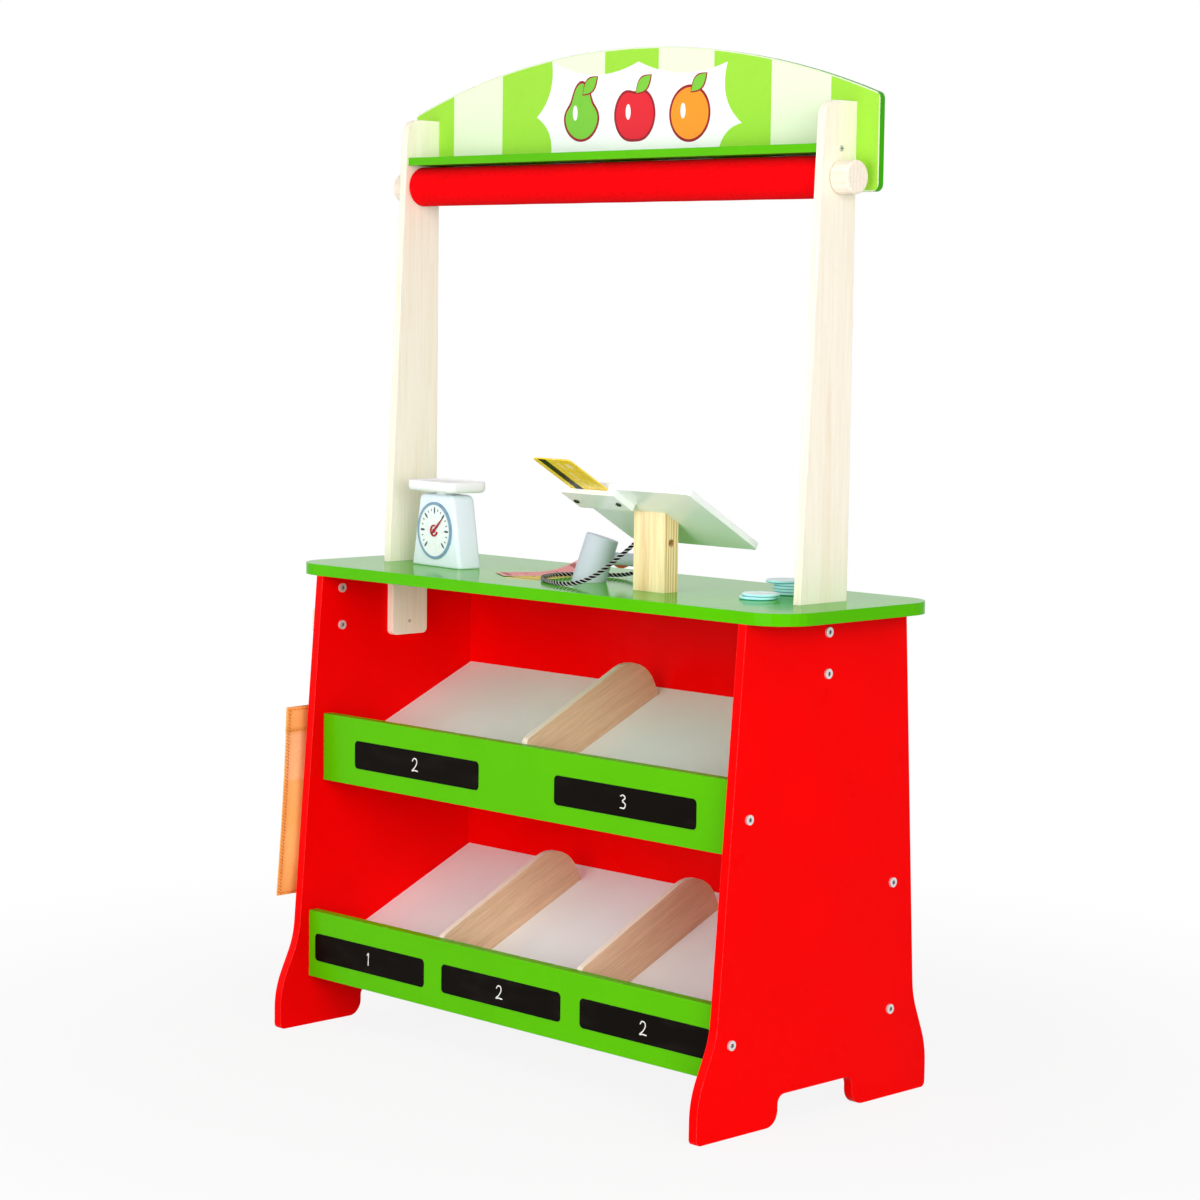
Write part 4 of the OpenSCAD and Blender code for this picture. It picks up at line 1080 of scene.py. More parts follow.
@dataclass
class Studio:
    """Camera at the photograph's place, a pale floor and soft lights."""

    camera_place: Point = (2.39528, -2.37073, 0.84973)
    yaw: float = 45.195
    pitch: float = -5.623
    roll: float = 0.762
    lens: float = 91.24
    sensor: float = 36.0
    floor_half: float = 30.0
    shadow_near: float = 0.45
    shadow_far: float = 1.3
    white_near: float = 0.88
    floor_grey: Colour = tone(210, 210, 210)
    ambient: float = 0.5
    aim: Point = (0.0, 0.0, 0.55)
    # Name, place and width of each lamp in metres, and its power in watts
    lamps: tuple[tuple[str, Point, float, float], ...] = (
        ("key_light", (3.2, -1.6, 1.2), 2.0, 60.0),
        ("front_light", (0.4, -2.6, 0.85), 1.8, 31.0),
        ("left_light", (-2.4, -2.0, 1.2), 2.2, 14.0),
        ("top_light", (0.2, 0.3, 3.2), 2.2, 8.0))

    def build(self) -> None:
        """Set up everything that isn't the stall."""
        self.camera()
        self.floor()
        self.world()
        for lamp in self.lamps:
            self.lamp(*lamp)
        bpy.context.scene.view_settings.view_transform = "Standard"
        log.info("studio is set up")

    def camera(self) -> None:
        """Put the camera where the photograph was taken."""
        yaw, pitch, roll = (math.radians(a) for a in (self.yaw, self.pitch, self.roll))
        ahead = Vector((-math.sin(yaw) * math.cos(pitch), math.cos(yaw) * math.cos(pitch), math.sin(pitch)))
        right = Vector((math.cos(yaw), math.sin(yaw), 0))
        up = right.cross(ahead)
        across = right * math.cos(roll) + up * math.sin(roll)
        upright = up * math.cos(roll) - right * math.sin(roll)
        data = bpy.data.cameras.new("photo_camera")
        data.sensor_fit = "HORIZONTAL"
        data.sensor_width, data.lens = self.sensor, self.lens
        data.clip_end = 100.0
        camera = placed("photo_camera", data)
        turn = Matrix((across, upright, -ahead)).transposed().to_4x4()
        camera.matrix_world = Matrix.Translation(self.camera_place) @ turn
        bpy.context.scene.camera = camera

    def floor(self) -> None:
        """Lay a pale floor that keeps the shadow near the stall and turns white further off."""
        mesh = bpy.data.meshes.new("floor")
        half = self.floor_half
        corners = [(-half, -half, 0), (half, -half, 0), (half, half, 0), (-half, half, 0)]
        mesh.from_pydata(corners, [], [(0, 1, 2, 3)])
        material = bpy.data.materials.new("floor_pale")
        material.use_nodes = True
        tree = material.node_tree
        tree.nodes.remove(tree.nodes["Principled BSDF"])
        seen = seen_share(tree)
        matt = add_node(tree, "BsdfDiffuse", {"Color": self.floor_grey}).outputs[0]
        white = add_node(tree, "Emission").outputs[0]
        own = add_node(tree, "TexCoord").outputs["Object"]
        away = add_node(tree, "VectorMath", {0: own}, operation="LENGTH").outputs["Value"]
        limits = {"Value": away, "From Min": self.shadow_near, "From Max": self.shadow_far,
                  "To Min": self.white_near}
        fade = add_node(tree, "MapRange", limits, interpolation_type="SMOOTHSTEP").outputs[0]
        share = add_node(tree, "Math", {0: seen, 1: fade}, operation="MULTIPLY").outputs[0]
        mix = add_node(tree, "MixShader", {0: share, 1: matt, 2: white}).outputs[0]
        tree.links.new(mix, tree.nodes["Material Output"].inputs["Surface"])
        mesh.materials.append(material)
        placed("floor", mesh)

    def world(self) -> None:
        """Fill the room with even light that looks white to the camera and in gloss."""
        world = bpy.data.worlds.new("white_room")
        world.use_nodes = True
        tree = world.node_tree
        light = tree.nodes["Background"]
        light.inputs["Color"].default_value = (1, 1, 1, 1)
        light.inputs["Strength"].default_value = self.ambient
        white = add_node(tree, "Background", {"Color": (1, 1, 1, 1)}).outputs[0]
        mix = add_node(tree, "MixShader", {0: seen_share(tree), 1: light.outputs[0], 2: white}).outputs[0]
        tree.links.new(mix, tree.nodes["World Output"].inputs["Surface"])
        bpy.context.scene.world = world

    def lamp(self, name: str, place: Point, size: float, power: float) -> None:
        """Hang a soft lamp that faces the middle of the stall.

        Args:
            name: Name of the lamp.
            place: Where it hangs, in metres.
            size: Width of its face, in metres.
            power: Power in watts.
        """
        data = bpy.data.lights.new(name, "AREA")
        data.shape, data.size, data.energy = "DISK", size, power
        aim = Vector(self.aim) - Vector(place)
        turn = aim.to_track_quat("-Z", "Y").to_matrix().to_4x4()
        placed(name, data).matrix_world = Matrix.Translation(place) @ turn


# The stall and its things


@dataclass
class Boards:
    """Counter, panels, shelves and bins, with chalk numbers on the price boards."""

    upper_face: float = -117.9
    lower_face: float = -138.9
    upper_z: float = 324.0
    lower_z: float = 94.0
    upper_x: tuple[float, ...] = (-166.0, 166.0)
    lower_x: tuple[float, ...] = (-221.0, 0.0, 221.0)
    upper_prices: tuple[int, ...] = (2, 3)
    lower_prices: tuple[int, ...] = (1, 2, 2)
    digit_h: float = 14.5
    digit_w: float = 11.5
    digit_rise: float = 0.02
    stroke_w: float = 1.5
    stroke_h: float = 0.16
    stroke_sunk: float = 0.02
    stroke_steps: int = 7
    # The pen's way for each hand-written digit, in shares of its width and height
    ways: ClassVar[dict[int, list[Flat]]] = {
        1: [(0.3, 0.82), (0.52, 1.0), (0.5, 0.5), (0.48, 0.0)],
        2: [(0.05, 0.76), (0.3, 1.0), (0.66, 0.92), (0.7, 0.62), (0.4, 0.28), (0.02, 0.02), (0.4, 0.06),
            (0.92, 0.02)],
        3: [(0.1, 0.9), (0.45, 1.0), (0.72, 0.8), (0.38, 0.56), (0.74, 0.36), (0.62, 0.06), (0.05, 0.04)],
    }

    def build(self) -> None:
        """Dress the boards and write on the price boards."""
        dress(COUNTER_GREEN, "counter_top")
        dress(GREEN, "upper_bin_front", "lower_bin_front")
        dress(RED, "left_side_panel", "right_side_panel", "back_panel")
        dress(SHELF_WHITE, "upper_shelf", "lower_shelf")
        dress(BIRCH, "upper_divider", "lower_divider_left", "lower_divider_right")
        dress(SLATE, "upper_price_boards", "lower_price_boards")
        dress(STEEL, "side_bolts", "divider_screws")
        dress(MAPLE_UPRIGHT, "counter_pegs")
        self.numbers("upper_chalk_numbers", self.upper_x, self.upper_prices, self.upper_face, self.upper_z)
        self.numbers("lower_chalk_numbers", self.lower_x, self.lower_prices, self.lower_face, self.lower_z)

    def numbers(self, name: str, middles: Sequence[float], digits: Sequence[int], face: float,
                z: float) -> None:
        """Write one chalk number on each price board of a row.

        Args:
            name: Name of the piece.
            middles: Middle of each board.
            digits: What is written on each.
            face: The boards' front face.
            z: Height of the boards' middle.
        """
        shape = Shape()
        for x, number in zip(middles, digits):
            corner = (x - self.digit_w / 2, face + self.stroke_sunk, z - self.digit_h / 2)
            at = plane(corner, (1, 0, self.digit_rise), (0, 0, 1))
            way = [(u * self.digit_w, v * self.digit_h, 0) for u, v in self.ways[number]]
            shape.stroke(smooth_path(way, self.stroke_steps), self.stroke_w, self.stroke_h, at)
        shape.piece(name, "stall", "slate_paint", CHALK)


@dataclass
class Sign:
    """Posts, rail and arched sign with its white plaque and three simple fruits."""

    front_y: float = 46.5
    low: float = 965.0
    end_h: float = 100.0
    rise: float = 63.0
    half_w: float = 359.0
    pitch: float = 83.5
    plaque_t: float = 0.15
    tongue_x: float = 318.0
    tip_place: Flat = (5.3, 467.5)
    tip_r: float = 1.2
    tip_h: float = 0.5
    tip_ease: float = 0.4
    bore_shade_share: float = 1.5
    bore_shade_h: float = 0.12
    fruit_z: float = 1055.0
    fruit_r: float = 28.0
    fruit_gap: float = 84.0
    fruit_shift: float = 6.0
    fruit_drop: float = 1.5
    fruit_steps: int = 64
    # Root, middle and tip of a leaf: millimetres to the right and shares of the fruit's radius up
    leaf_root: Flat = (2.0, 0.84)
    leaf_middle: Flat = (13.0, 1.3)
    leaf_tip: Flat = (24.0, 1.5)
    leaf_half_w: float = 7.0
    leaf_steps: int = 12
    outline_w: float = 3.0
    leaf_outline_share: float = 0.6
    glint_middle: Flat = (-10.0, 3.0)
    glint_half: Flat = (3.8, 8.5)
    # Levels of the layers: a fruit's outline and fill, its leaf's outline and fill, and its glint
    levels: tuple[float, ...] = (0.25, 0.33, 0.41, 0.49, 0.45)
    hollow_steps: int = 14
    # Tips of the plaque from the lower left, clockwise, and how deep each edge is drawn in
    tips: tuple[Flat, ...] = ((-128.0, 1006.0), (-151.0, 1056.6), (-126.5, 1118.8), (10.9, 1112.5),
                              (145.0, 1106.4), (167.0, 1040.6), (132.0, 1006.0))
    hollows: tuple[float, ...] = (11.0, 10.0, 15.0, 12.0, 13.0, 9.0)

    def build(self) -> None:
        """Dress the sign and its carriers, and add the plaque."""
        radius = (self.half_w ** 2 + self.rise ** 2) / (2 * self.rise)
        centre = (0.0, self.front_y, self.low + self.end_h + self.rise - radius)
        stripes = StripedPrint("sign_print", tone(160, 222, 66), tone(234, 244, 214), tone(224, 238, 200),
                               tone(58, 166, 4), self.pitch, self.low, self.half_w, centre, radius)
        dress(stripes, "sign_board")
        dress(GREEN, "top_rail")
        dress(MAPLE_UPRIGHT, "left_post", "right_post")
        dress(STEEL, "sign_screws", "rail_screws")
        self.plaque()
        self.fruits()
        self.screw_tips()

    def screw_tips(self) -> None:
        """Add the tips of the screws that show on the inner face of each post's tongue, each on a dark disc
        of painted shade for its hole.
        """
        shape = Shape()
        for side in (-1, 1):
            at = plane((side * self.tongue_x, *self.tip_place), (0, -side, 0), (0, 0, 1))
            # A dark disc round each tip: painted shade of the screw's hole
            shape.plate(circle(self.tip_r * self.bore_shade_share, 20), 0.0, self.bore_shade_h, at)
            shape.plate(circle(self.tip_r, 20), 0.0, self.tip_h, at, 1, self.tip_ease)
        shape.piece("tongue_screw_tips", "stall", "steel", DARK_PINE_AND_HOLE_SHADE, STEEL)

    def face(self) -> Matrix:
        """Give the drawing plane of the sign's front, X to the right and Y up."""
        return plane((0, self.front_y, 0), (1, 0, 0), (0, 0, 1))

    def plaque(self) -> None:
        """Add the white plaque, whose edges are drawn in between its tips."""
        outline: list[Flat] = []
        for (a, b), hollow in zip(zip(self.tips, self.tips[1:]), self.hollows):
            start, end = Vector(a), Vector(b)
            inward = Vector((end.y - start.y, start.x - end.x)).normalized()
            for i in range(self.hollow_steps):
                t = i / self.hollow_steps
                bow = inward * hollow * 4 * t * (1 - t)
                outline.append(tuple(start.lerp(end, t) + bow))
        outline.append(self.tips[-1])
        shape = Shape()
        shape.plate(outline[::-1], 0.0, self.plaque_t, self.face())
        shape.piece("sign_plaque", "stall", "sign_print", PLAQUE_WHITE)

    def fruits(self) -> None:
        """Add a pear, an apple and an orange, each with a dark outline, a leaf and a glint."""
        shape = Shape()
        coats = (FRUIT_DARK, FRUIT_RED, FRUIT_GREEN, FRUIT_ORANGE, PLAQUE_WHITE)
        fills = {Fruit.PEAR: FRUIT_GREEN, Fruit.APPLE: FRUIT_RED, Fruit.ORANGE: FRUIT_ORANGE}
        (glint_x, glint_y), (glint_w, glint_h) = self.glint_middle, self.glint_half
        glint = [(x * glint_w + glint_x, y * glint_h + glint_y) for x, y in circle(1.0, 20)]
        leaf, leaf_middle = self.leaf_outline(), self.on_leaf(self.leaf_middle)
        leaf_rim = [self.grown(p, self.outline_w * self.leaf_outline_share, leaf_middle) for p in leaf]
        for place, (fruit, fill) in enumerate(fills.items()):
            off = place - 1
            middle = (off * self.fruit_gap + self.fruit_shift, self.fruit_z - off * self.fruit_drop, 0)
            at = self.face() @ Matrix.Translation(middle)
            body = self.fruit_outline(fruit)
            body_rim = [self.grown(p, self.outline_w) for p in body]
            layers = ((body_rim, FRUIT_DARK), (body, fill), (leaf_rim, FRUIT_DARK), (leaf, FRUIT_GREEN),
                      (glint, PLAQUE_WHITE))
            for (outline, coat), level in zip(layers, self.levels):
                shape.plate(outline, self.plaque_t, level, at, coats.index(coat))
        shape.piece("sign_fruits", "stall", "sign_print", *coats)

    def on_leaf(self, spot: Flat) -> Vector:
        """Turn a spot of the leaf into millimetres."""
        return Vector((spot[0], self.fruit_r * spot[1]))

    @staticmethod
    def grown(point: Flat, by: float, middle: Vector = Vector((0, 0))) -> Flat:
        """Move a point of an outline away from its middle."""
        out = Vector(point) - middle
        return tuple(Vector(point) + out.normalized() * by)

    def fruit_outline(self, fruit: Fruit) -> list[Flat]:
        """Draw a fruit about the origin.

        Args:
            fruit: Which one.

        Returns:
            Its outline, anticlockwise.
        """
        outline = []
        for k in range(self.fruit_steps):
            turn = math.tau * k / self.fruit_steps
            off_top = math.atan2(math.sin(turn - math.pi / 2), math.cos(turn - math.pi / 2))
            off_low = math.pi - abs(off_top)
            reach = self.fruit_r
            if fruit is Fruit.APPLE:
                reach *= 1.04 - 0.24 * bell(off_top, 0.42) - 0.08 * bell(off_low, 0.4)
            elif fruit is Fruit.PEAR:
                reach *= 0.94 + 0.34 * bell(off_top, 0.42) - 0.2 * bell(abs(off_top) - 0.95, 0.5)
            outline.append((reach * math.cos(turn), reach * math.sin(turn)))
        return outline

    def leaf_outline(self) -> list[Flat]:
        """Draw a leaf to the upper right of a fruit.

        Returns:
            Its outline, anticlockwise.
        """
        root, tip, steps = self.on_leaf(self.leaf_root), self.on_leaf(self.leaf_tip), self.leaf_steps
        across = Vector((-(tip - root).y, (tip - root).x)).normalized() * self.leaf_half_w
        way = [(i / steps, -1) for i in range(steps)] + [(1 - i / steps, 1) for i in range(steps)]
        return [tuple(root.lerp(tip, t) + across * side * math.sin(math.pi * t)) for t, side in way]


@dataclass
class Curtain:
    """Felt wound on a dowel between two knobs."""

    axis_y: float = 21.5
    axis_z: float = 978.975
    half_l: float = 317.0
    inner_r: float = 7.2
    felt_t: float = 2.8
    wind: float = 3.3
    turns: float = 4.25
    steps: int = 40
    slices: int = 72
    ripple: float = 0.5
    # The last turns are looser, most of all at the left end, and the edges don't line up
    loose_turns: float = 1.2
    slack: float = 0.45
    creep: float = 1.4

    def build(self) -> None:
        """Dress the dowel and wind the felt."""
        dress(MAPLE_ROUND, "curtain_dowel", "left_knob", "right_knob")
        shape = Shape()
        count = round(self.turns * self.steps)
        steps, slices = range(count + 1), range(self.slices + 1)
        inner, outer = ([shape.row(self.point(i, j, out) for j in slices) for i in steps]
                        for out in (0.0, self.felt_t))
        shape.sheet(outer, inner)
        roll = shape.piece("felt_roll", "curtain_roller", "red_felt", RED_FELT, stands_for="rolled_curtain")
        log.info("felt_roll holds %.0f mm of felt", self.length())

    def length(self) -> float:
        """Give the length of felt on the dowel."""
        mean = self.inner_r + self.felt_t / 2 + self.wind * self.turns / 2
        return math.tau * self.turns * mean

    def point(self, step: int, slice_: int, out: float) -> Vector:
        """Give one point of the felt.

        Args:
            step: How far along the winding.
            slice_: How far along the dowel.
            out: Height above the felt's inner face.

        Returns:
            The point in the frame.
        """
        turn = math.tau * step / self.steps
        layer = step / self.steps
        x = self.half_l * (2 * slice_ / self.slices - 1)
        loose = max(0.0, layer - self.turns + self.loose_turns)
        waver = noise.noise(Vector((x * 0.02, math.sin(turn) * 0.6, math.cos(turn) * 0.6 + layer * 0.2)))
        slack = self.slack * loose * max(0.0, -x / self.half_l) ** 3
        reach = self.inner_r + self.wind * layer + out + slack + self.ripple * loose * (waver - 0.2)
        creep = self.creep * noise.noise(Vector((layer * 1.3, 4.0, 0.5))) * abs(x / self.half_l) ** 8
        return Vector((x - math.copysign(abs(creep), x), self.axis_y + reach * math.sin(turn),
                       self.axis_z + reach * math.cos(turn)))


@dataclass
class Till:
    """Till on its pine post: tilted panel with keys, card reader, card and screws."""

    edge_y: float = -48.0
    edge_z: float = 626.0
    tilt: float = 30.0
    panel_t: float = 7.0
    middle_x: float = 134.0
    card_x: float = 81.0
    key: float = 15.0
    key_gap: float = 19.0
    key_stretch: float = 1.35
    key_r: float = 2.5
    key_h: float = 0.5
    mark_share: float = 0.72
    mark_level: float = 0.54
    keys_top: float = 6.0
    columns: int = 4
    labels: str = "789 456 123 0   "
    screen_y: float = 30.0
    screen_w: float = 118.0
    screen_l: float = 20.0
    screen_r: float = 2.0
    screen_ease: float = 0.1
    screen_levels: Flat = (0.25, 0.4)
    bezel: float = 8.0
    bezel_r: float = 4.0
    bezel_h: float = 0.3
    bezel_ease: float = 0.2

    def build(self) -> None:
        """Dress the till and add its keys and screen."""
        dress(PINE, "till_post")
        dress(DARK_PINE_AND_HOLE_SHADE, "rope_plug")
        dress(TILL_WHITE, "till_panel", "card_reader")
        dress(STEEL, "till_screws")
        dress(DARK_STEEL, "reader_screws")
        x = self.card_x
        card = CardPrint("card_print", tone(250, 214, 52), tone(24, 40, 10), stripe_x=(x - 20.0, x - 8.5),
                         dash_x=(x + 3.0, x + 5.6), square_x=(x + 13.0, x + 20.0), square_y=(-141.0, -133.0))
        dress(card, "payment_card")
        self.keys()

    def panel(self) -> Matrix:
        """Set up the plane of the panel's upper face, as the shopkeeper sees it.

        Returns:
            The plane, with X to the right and Y up.
        """
        tilt = math.radians(self.tilt)
        top = Vector((0, math.sin(tilt), math.cos(tilt))) * self.panel_t
        origin = Vector((self.middle_x, self.edge_y, self.edge_z)) + top
        return plane(origin, (-1, 0, 0), (0, -math.cos(tilt), math.sin(tilt)))

    def keys(self) -> None:
        """Add a screen and a pad of number keys."""
        coats = (KEY_GREY, KEY_INK, SCREEN, FRUIT_RED, FRUIT_ORANGE, FRUIT_GREEN)
        right_keys = (FRUIT_RED, FRUIT_ORANGE, FRUIT_GREEN, FRUIT_ORANGE)
        shape = Shape()
        at = self.panel()
        screen_at = at @ Matrix.Translation((0, self.screen_y, 0))
        bezel_box = rounded_box(self.screen_w + self.bezel, self.screen_l + self.bezel, self.bezel_r)
        shape.plate(bezel_box, 0.0, self.bezel_h, screen_at, coats.index(KEY_INK), self.bezel_ease)
        screen_box = rounded_box(self.screen_w, self.screen_l, self.screen_r)
        shape.plate(screen_box, *self.screen_levels, screen_at, coats.index(SCREEN), self.screen_ease)
        key_box = rounded_box(self.key * self.key_stretch, self.key, self.key_r)
        for place, label in enumerate(self.labels):
            line, column = divmod(place, self.columns)
            across = (column - (self.columns - 1) / 2) * self.key_gap * self.key_stretch
            spot = at @ Matrix.Translation((across, self.keys_top - line * self.key_gap, 0))
            coat = KEY_GREY if column < self.columns - 1 else right_keys[line]
            shape.plate(key_box, 0.0, self.key_h, spot, coats.index(coat), self.key_h / 2)
            if label != " ":
                self.mark(shape, label, spot)
        shape.piece("till_keys", "stall", "white_paint", *coats)

    def mark(self, shape: Shape, label: str, at: Matrix) -> None:
        """Add a plain number to a key.

        Args:
            shape: The shape that takes it.
            label: The number.
            at: Plane of the key.
        """
        text = bpy.data.curves.new("mark", "FONT")
        text.body, text.size = label, self.key * self.mark_share
        text.align_x, text.align_y = "CENTER", "CENTER"
        holder = bpy.data.objects.new("mark", text)
        mesh = bpy.data.meshes.new_from_object(holder)
        numbers = shape.row(at @ (v.co + Vector((0, 0, self.mark_level))) for v in mesh.vertices)
        for polygon in mesh.polygons:
            shape.face([numbers[i] for i in polygon.vertices], 1)
        bpy.data.objects.remove(holder)
        bpy.data.meshes.remove(mesh)
        bpy.data.curves.remove(text)


@dataclass
class Scanner:
    """Hand scanner and the twisted rope that ties it to the till's post."""

    rope_d: float = 4.6
    twist: float = 11.0
    strands: int = 4
    sides: int = 7
    steps: int = 18
    # Thickness of a strand and how far out it lies, in shares of an even strand's
    black_strand: Flat = (1.14, 0.94)
    white_strand: Flat = (0.42, 1.5)
    # The rope's way from the till's post round the counter to the handle, as in the CAD model
    route: tuple[Point, ...] = (
        (121, -37.5, 593), (107, -37.5, 593), (100, -38, 590), (94, -39.5, 585), (87, -42.5, 578.5),
        (77, -50, 567.5), (66, -61, 555.5), (53, -70, 547), (38, -76, 543.2), (22, -77, 542.4),
        (6, -73, 542.4), (-10, -66, 542.4), (-25, -56, 542.7), (-38, -43, 543.1), (-47, -28, 543.1),
        (-51, -11, 543.1), (-47, 6, 543.1), (-38, 20, 543.1), (-26, 31, 542.7), (-12, 39, 542.8),
        (2, 44, 544), (16, 47, 547), (30, 51.5, 551), (42, 57, 555), (51, 58, 558), (56.5, 53.5, 560.4),
        (57.5, 47, 561.8), (54.6, 42, 562.8), (49.7, 36, 563.2), (45.8, 31.5, 563.4))
    # Ends of the stretch between the rope's part that rests on the counter and its part at the scanner, in
    # metres
    slack_from: Point = (-0.016, 0.028, 0.55)
    slack_to: Point = (-0.0028, 0.0544, 0.55)

    def build(self) -> None:
        """Dress the scanner and lay its rope."""
        dress(SCANNER_GREY, "scanner_head", "scanner_handle")
        dress(TRIGGER_BROWN, "scanner_trigger")
        path = smooth_path(self.route, self.steps)
        shape = Shape()
        strand_r = self.rope_d / 4
        frames = frames_along(path)
        gone = [0.0]
        for a, b in zip(path, path[1:]):
            gone.append(gone[-1] + (b - a).length)
        for strand in range(self.strands):
            start = math.tau * strand / self.strands
            thick, out = self.white_strand if strand % 2 else self.black_strand
            centres = []
            for (place, side, up), way in zip(frames, gone):
                turn = start + math.tau * way / self.twist
                centres.append(place + (side * math.cos(turn) + up * math.sin(turn)) * strand_r * out)
            shape.tube(centres, strand_r * thick, self.sides, strand % 2)
        rope = shape.piece("twisted_rope", None, "rope_fibre", BLACK_YARN, WHITE_YARN, sharp=180)
        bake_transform(rope)
        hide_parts("scanner_rope")
        log.info("twisted_rope hangs from the till's post to the scanner: %.0f mm", gone[-1])


@dataclass
class Scale:
    """Kitchen scale with a printed dial and a turning pointer."""

    foot: Point = (-232.0, -14.0, 540.0)
    dial: Point = (-233.7835, -29.9003, 582.0)
    turn: float = -6.4
    base_w: float = 96.0
    top_w: float = 65.0
    depth: float = 32.0
    height: float = 84.0
    corner_r: float = 5.0
    pan_gap: float = 3.0
    pan_w: float = 89.0
    pan_d: float = 54.0
    pan_t: float = 12.5
    pan_r: float = 9.0
    stem_r: float = 12.0
    stem_sunk: float = 0.4
    dial_r: float = 33.0
    dial_t: float = 1.4
    rim_w: float = 3.0
    pointer_gap: float = 0.4
    pointer_t: float = 1.0
    pointer_turn: float = 48.0
    needle_l: float = 21.5
    needle_w: float = 2.8
    needle_tip: float = 0.35
    needle_ease: float = 0.2
    loop_r: float = 6.0
    loop_w: float = 1.9
    loop_open: Flat = (16.0, 102.0)
    loop_steps: int = 40
    hub_r: float = 2.3
    hub_rise: float = 0.5
    pin_r: float = 1.15
    pin_d: float = 7.5
    # How far the body and the tray are drawn in at heights from their lower and from their upper edge
    body_low: tuple[Flat, ...] = ((0.0, 1.8), (0.5, 0.8), (1.4, 0.2), (3.0, 0.0))
    body_high: tuple[Flat, ...] = ((6.0, 0.0), (3.6, 0.45), (1.9, 1.4), (0.7, 2.9), (0.0, 5.2))
    tray_low: tuple[Flat, ...] = ((0.0, 4.5), (0.5, 2.6), (1.8, 0.9), (4.0, 0.0))
    tray_high: tuple[Flat, ...] = ((2.0, 0.0), (0.6, 0.5), (0.0, 1.4), (0.0, 2.4), (0.5, 3.2), (1.8, 3.9),
                                   (2.0, 5.5))
    # Where a tick starts and ends, in shares of the dial's radius, and half its width
    long_tick: Point = (0.58, 0.84, 1.35)
    short_tick: Point = (0.69, 0.79, 0.75)
    tick_turn: float = 15.0
    tick_sunk: float = 0.05
    tick_rise: float = 0.06
    ticks_each_way: int = 9

    def build(self) -> None:
        """Make the body and the tray, print the dial and make its pointer."""
        face = DialPrint("dial_print", tone(244, 248, 250), tone(126, 162, 188), self.dial,
                         self.dial_r - self.rim_w)
        dress(face, "scale_dial")
        self.body()
        self.tray()
        self.ticks()
        self.pointer()

    def stand(self) -> Matrix:
        """Give the scale's place on the counter."""
        return Matrix.Translation(self.foot) @ turned_by(self.turn)

    def loft(self, shape: Shape, boxes: Iterable[tuple[float, float, float, float]], steps: int) -> None:
        """Stack rounded boxes into one closed form.

        Args:
            shape: The shape that takes it.
            boxes: Level, width, depth and corner radius of each box, from the bottom up.
            steps: Stretches that a corner is drawn with.
        """
        rows = []
        for z, width, depth, radius in boxes:
            outline = rounded_box(width, depth, radius, steps)
            rows.append(shape.row(self.stand() @ Vector((x, y, z)) for x, y in outline))
        shape.closed(rows)

    def body(self) -> None:
        """Make the body, which narrows upwards and has round edges all over."""
        shape = Shape()
        boxes = []
        for z, inset in (*self.body_low, *((self.height - drop, inset) for drop, inset in self.body_high)):
            width = self.base_w + (self.top_w - self.base_w) * z / self.height
            radius = max(1.0, self.corner_r - inset * 0.5)
            boxes.append((z, width - inset * 2, self.depth - inset * 2, radius))
        self.loft(shape, boxes, 5)
        shape.piece("scale_shell", "scale", "mint_paint", SCALE_BLUE, sharp=50, stands_for="scale_body")

    def tray(self) -> None:
        """Make the tray with its low rim, on a round stem."""
        shape = Shape()
        low = self.height + self.pan_gap
        levels = [*((low + z, inset) for z, inset in self.tray_low),
                  *((low + self.pan_t - drop, inset) for drop, inset in self.tray_high)]
        boxes = [(z, self.pan_w - inset * 2, self.pan_d - inset * 2, max(3.0, self.pan_r - inset * 0.6))
                 for z, inset in levels]
        self.loft(shape, boxes, 8)
        shape.plate(circle(self.stem_r, 32), self.height, low + self.stem_sunk, self.stand())
        shape.piece("scale_tray", "scale", "white_paint", PAN_WHITE, sharp=50, stands_for="scale_pan")

    def face(self) -> Matrix:
        """Give the plane of the body's front at the dial's middle."""
        turn = math.radians(self.turn)
        return plane(self.dial, (math.cos(turn), math.sin(turn), 0), (0, 0, 1))

    def ticks(self) -> None:
        """Print the ticks, longer at every third, none at the foot of the dial."""
        shape = Shape()
        for step in range(-self.ticks_each_way, self.ticks_each_way + 1):
            low, high, half = self.short_tick if step % 3 else self.long_tick
            lens = [(half * x, self.dial_r * ((low + high) / 2 + (high - low) / 2 * y))
                    for x, y in circle(1.0, 16)]
            at = self.face() @ turned_by(-step * self.tick_turn)
            shape.plate(lens, self.dial_t - self.tick_sunk, self.dial_t + self.tick_rise, at)
        shape.piece("dial_ticks", "scale", "dial_print", TICK_INK)

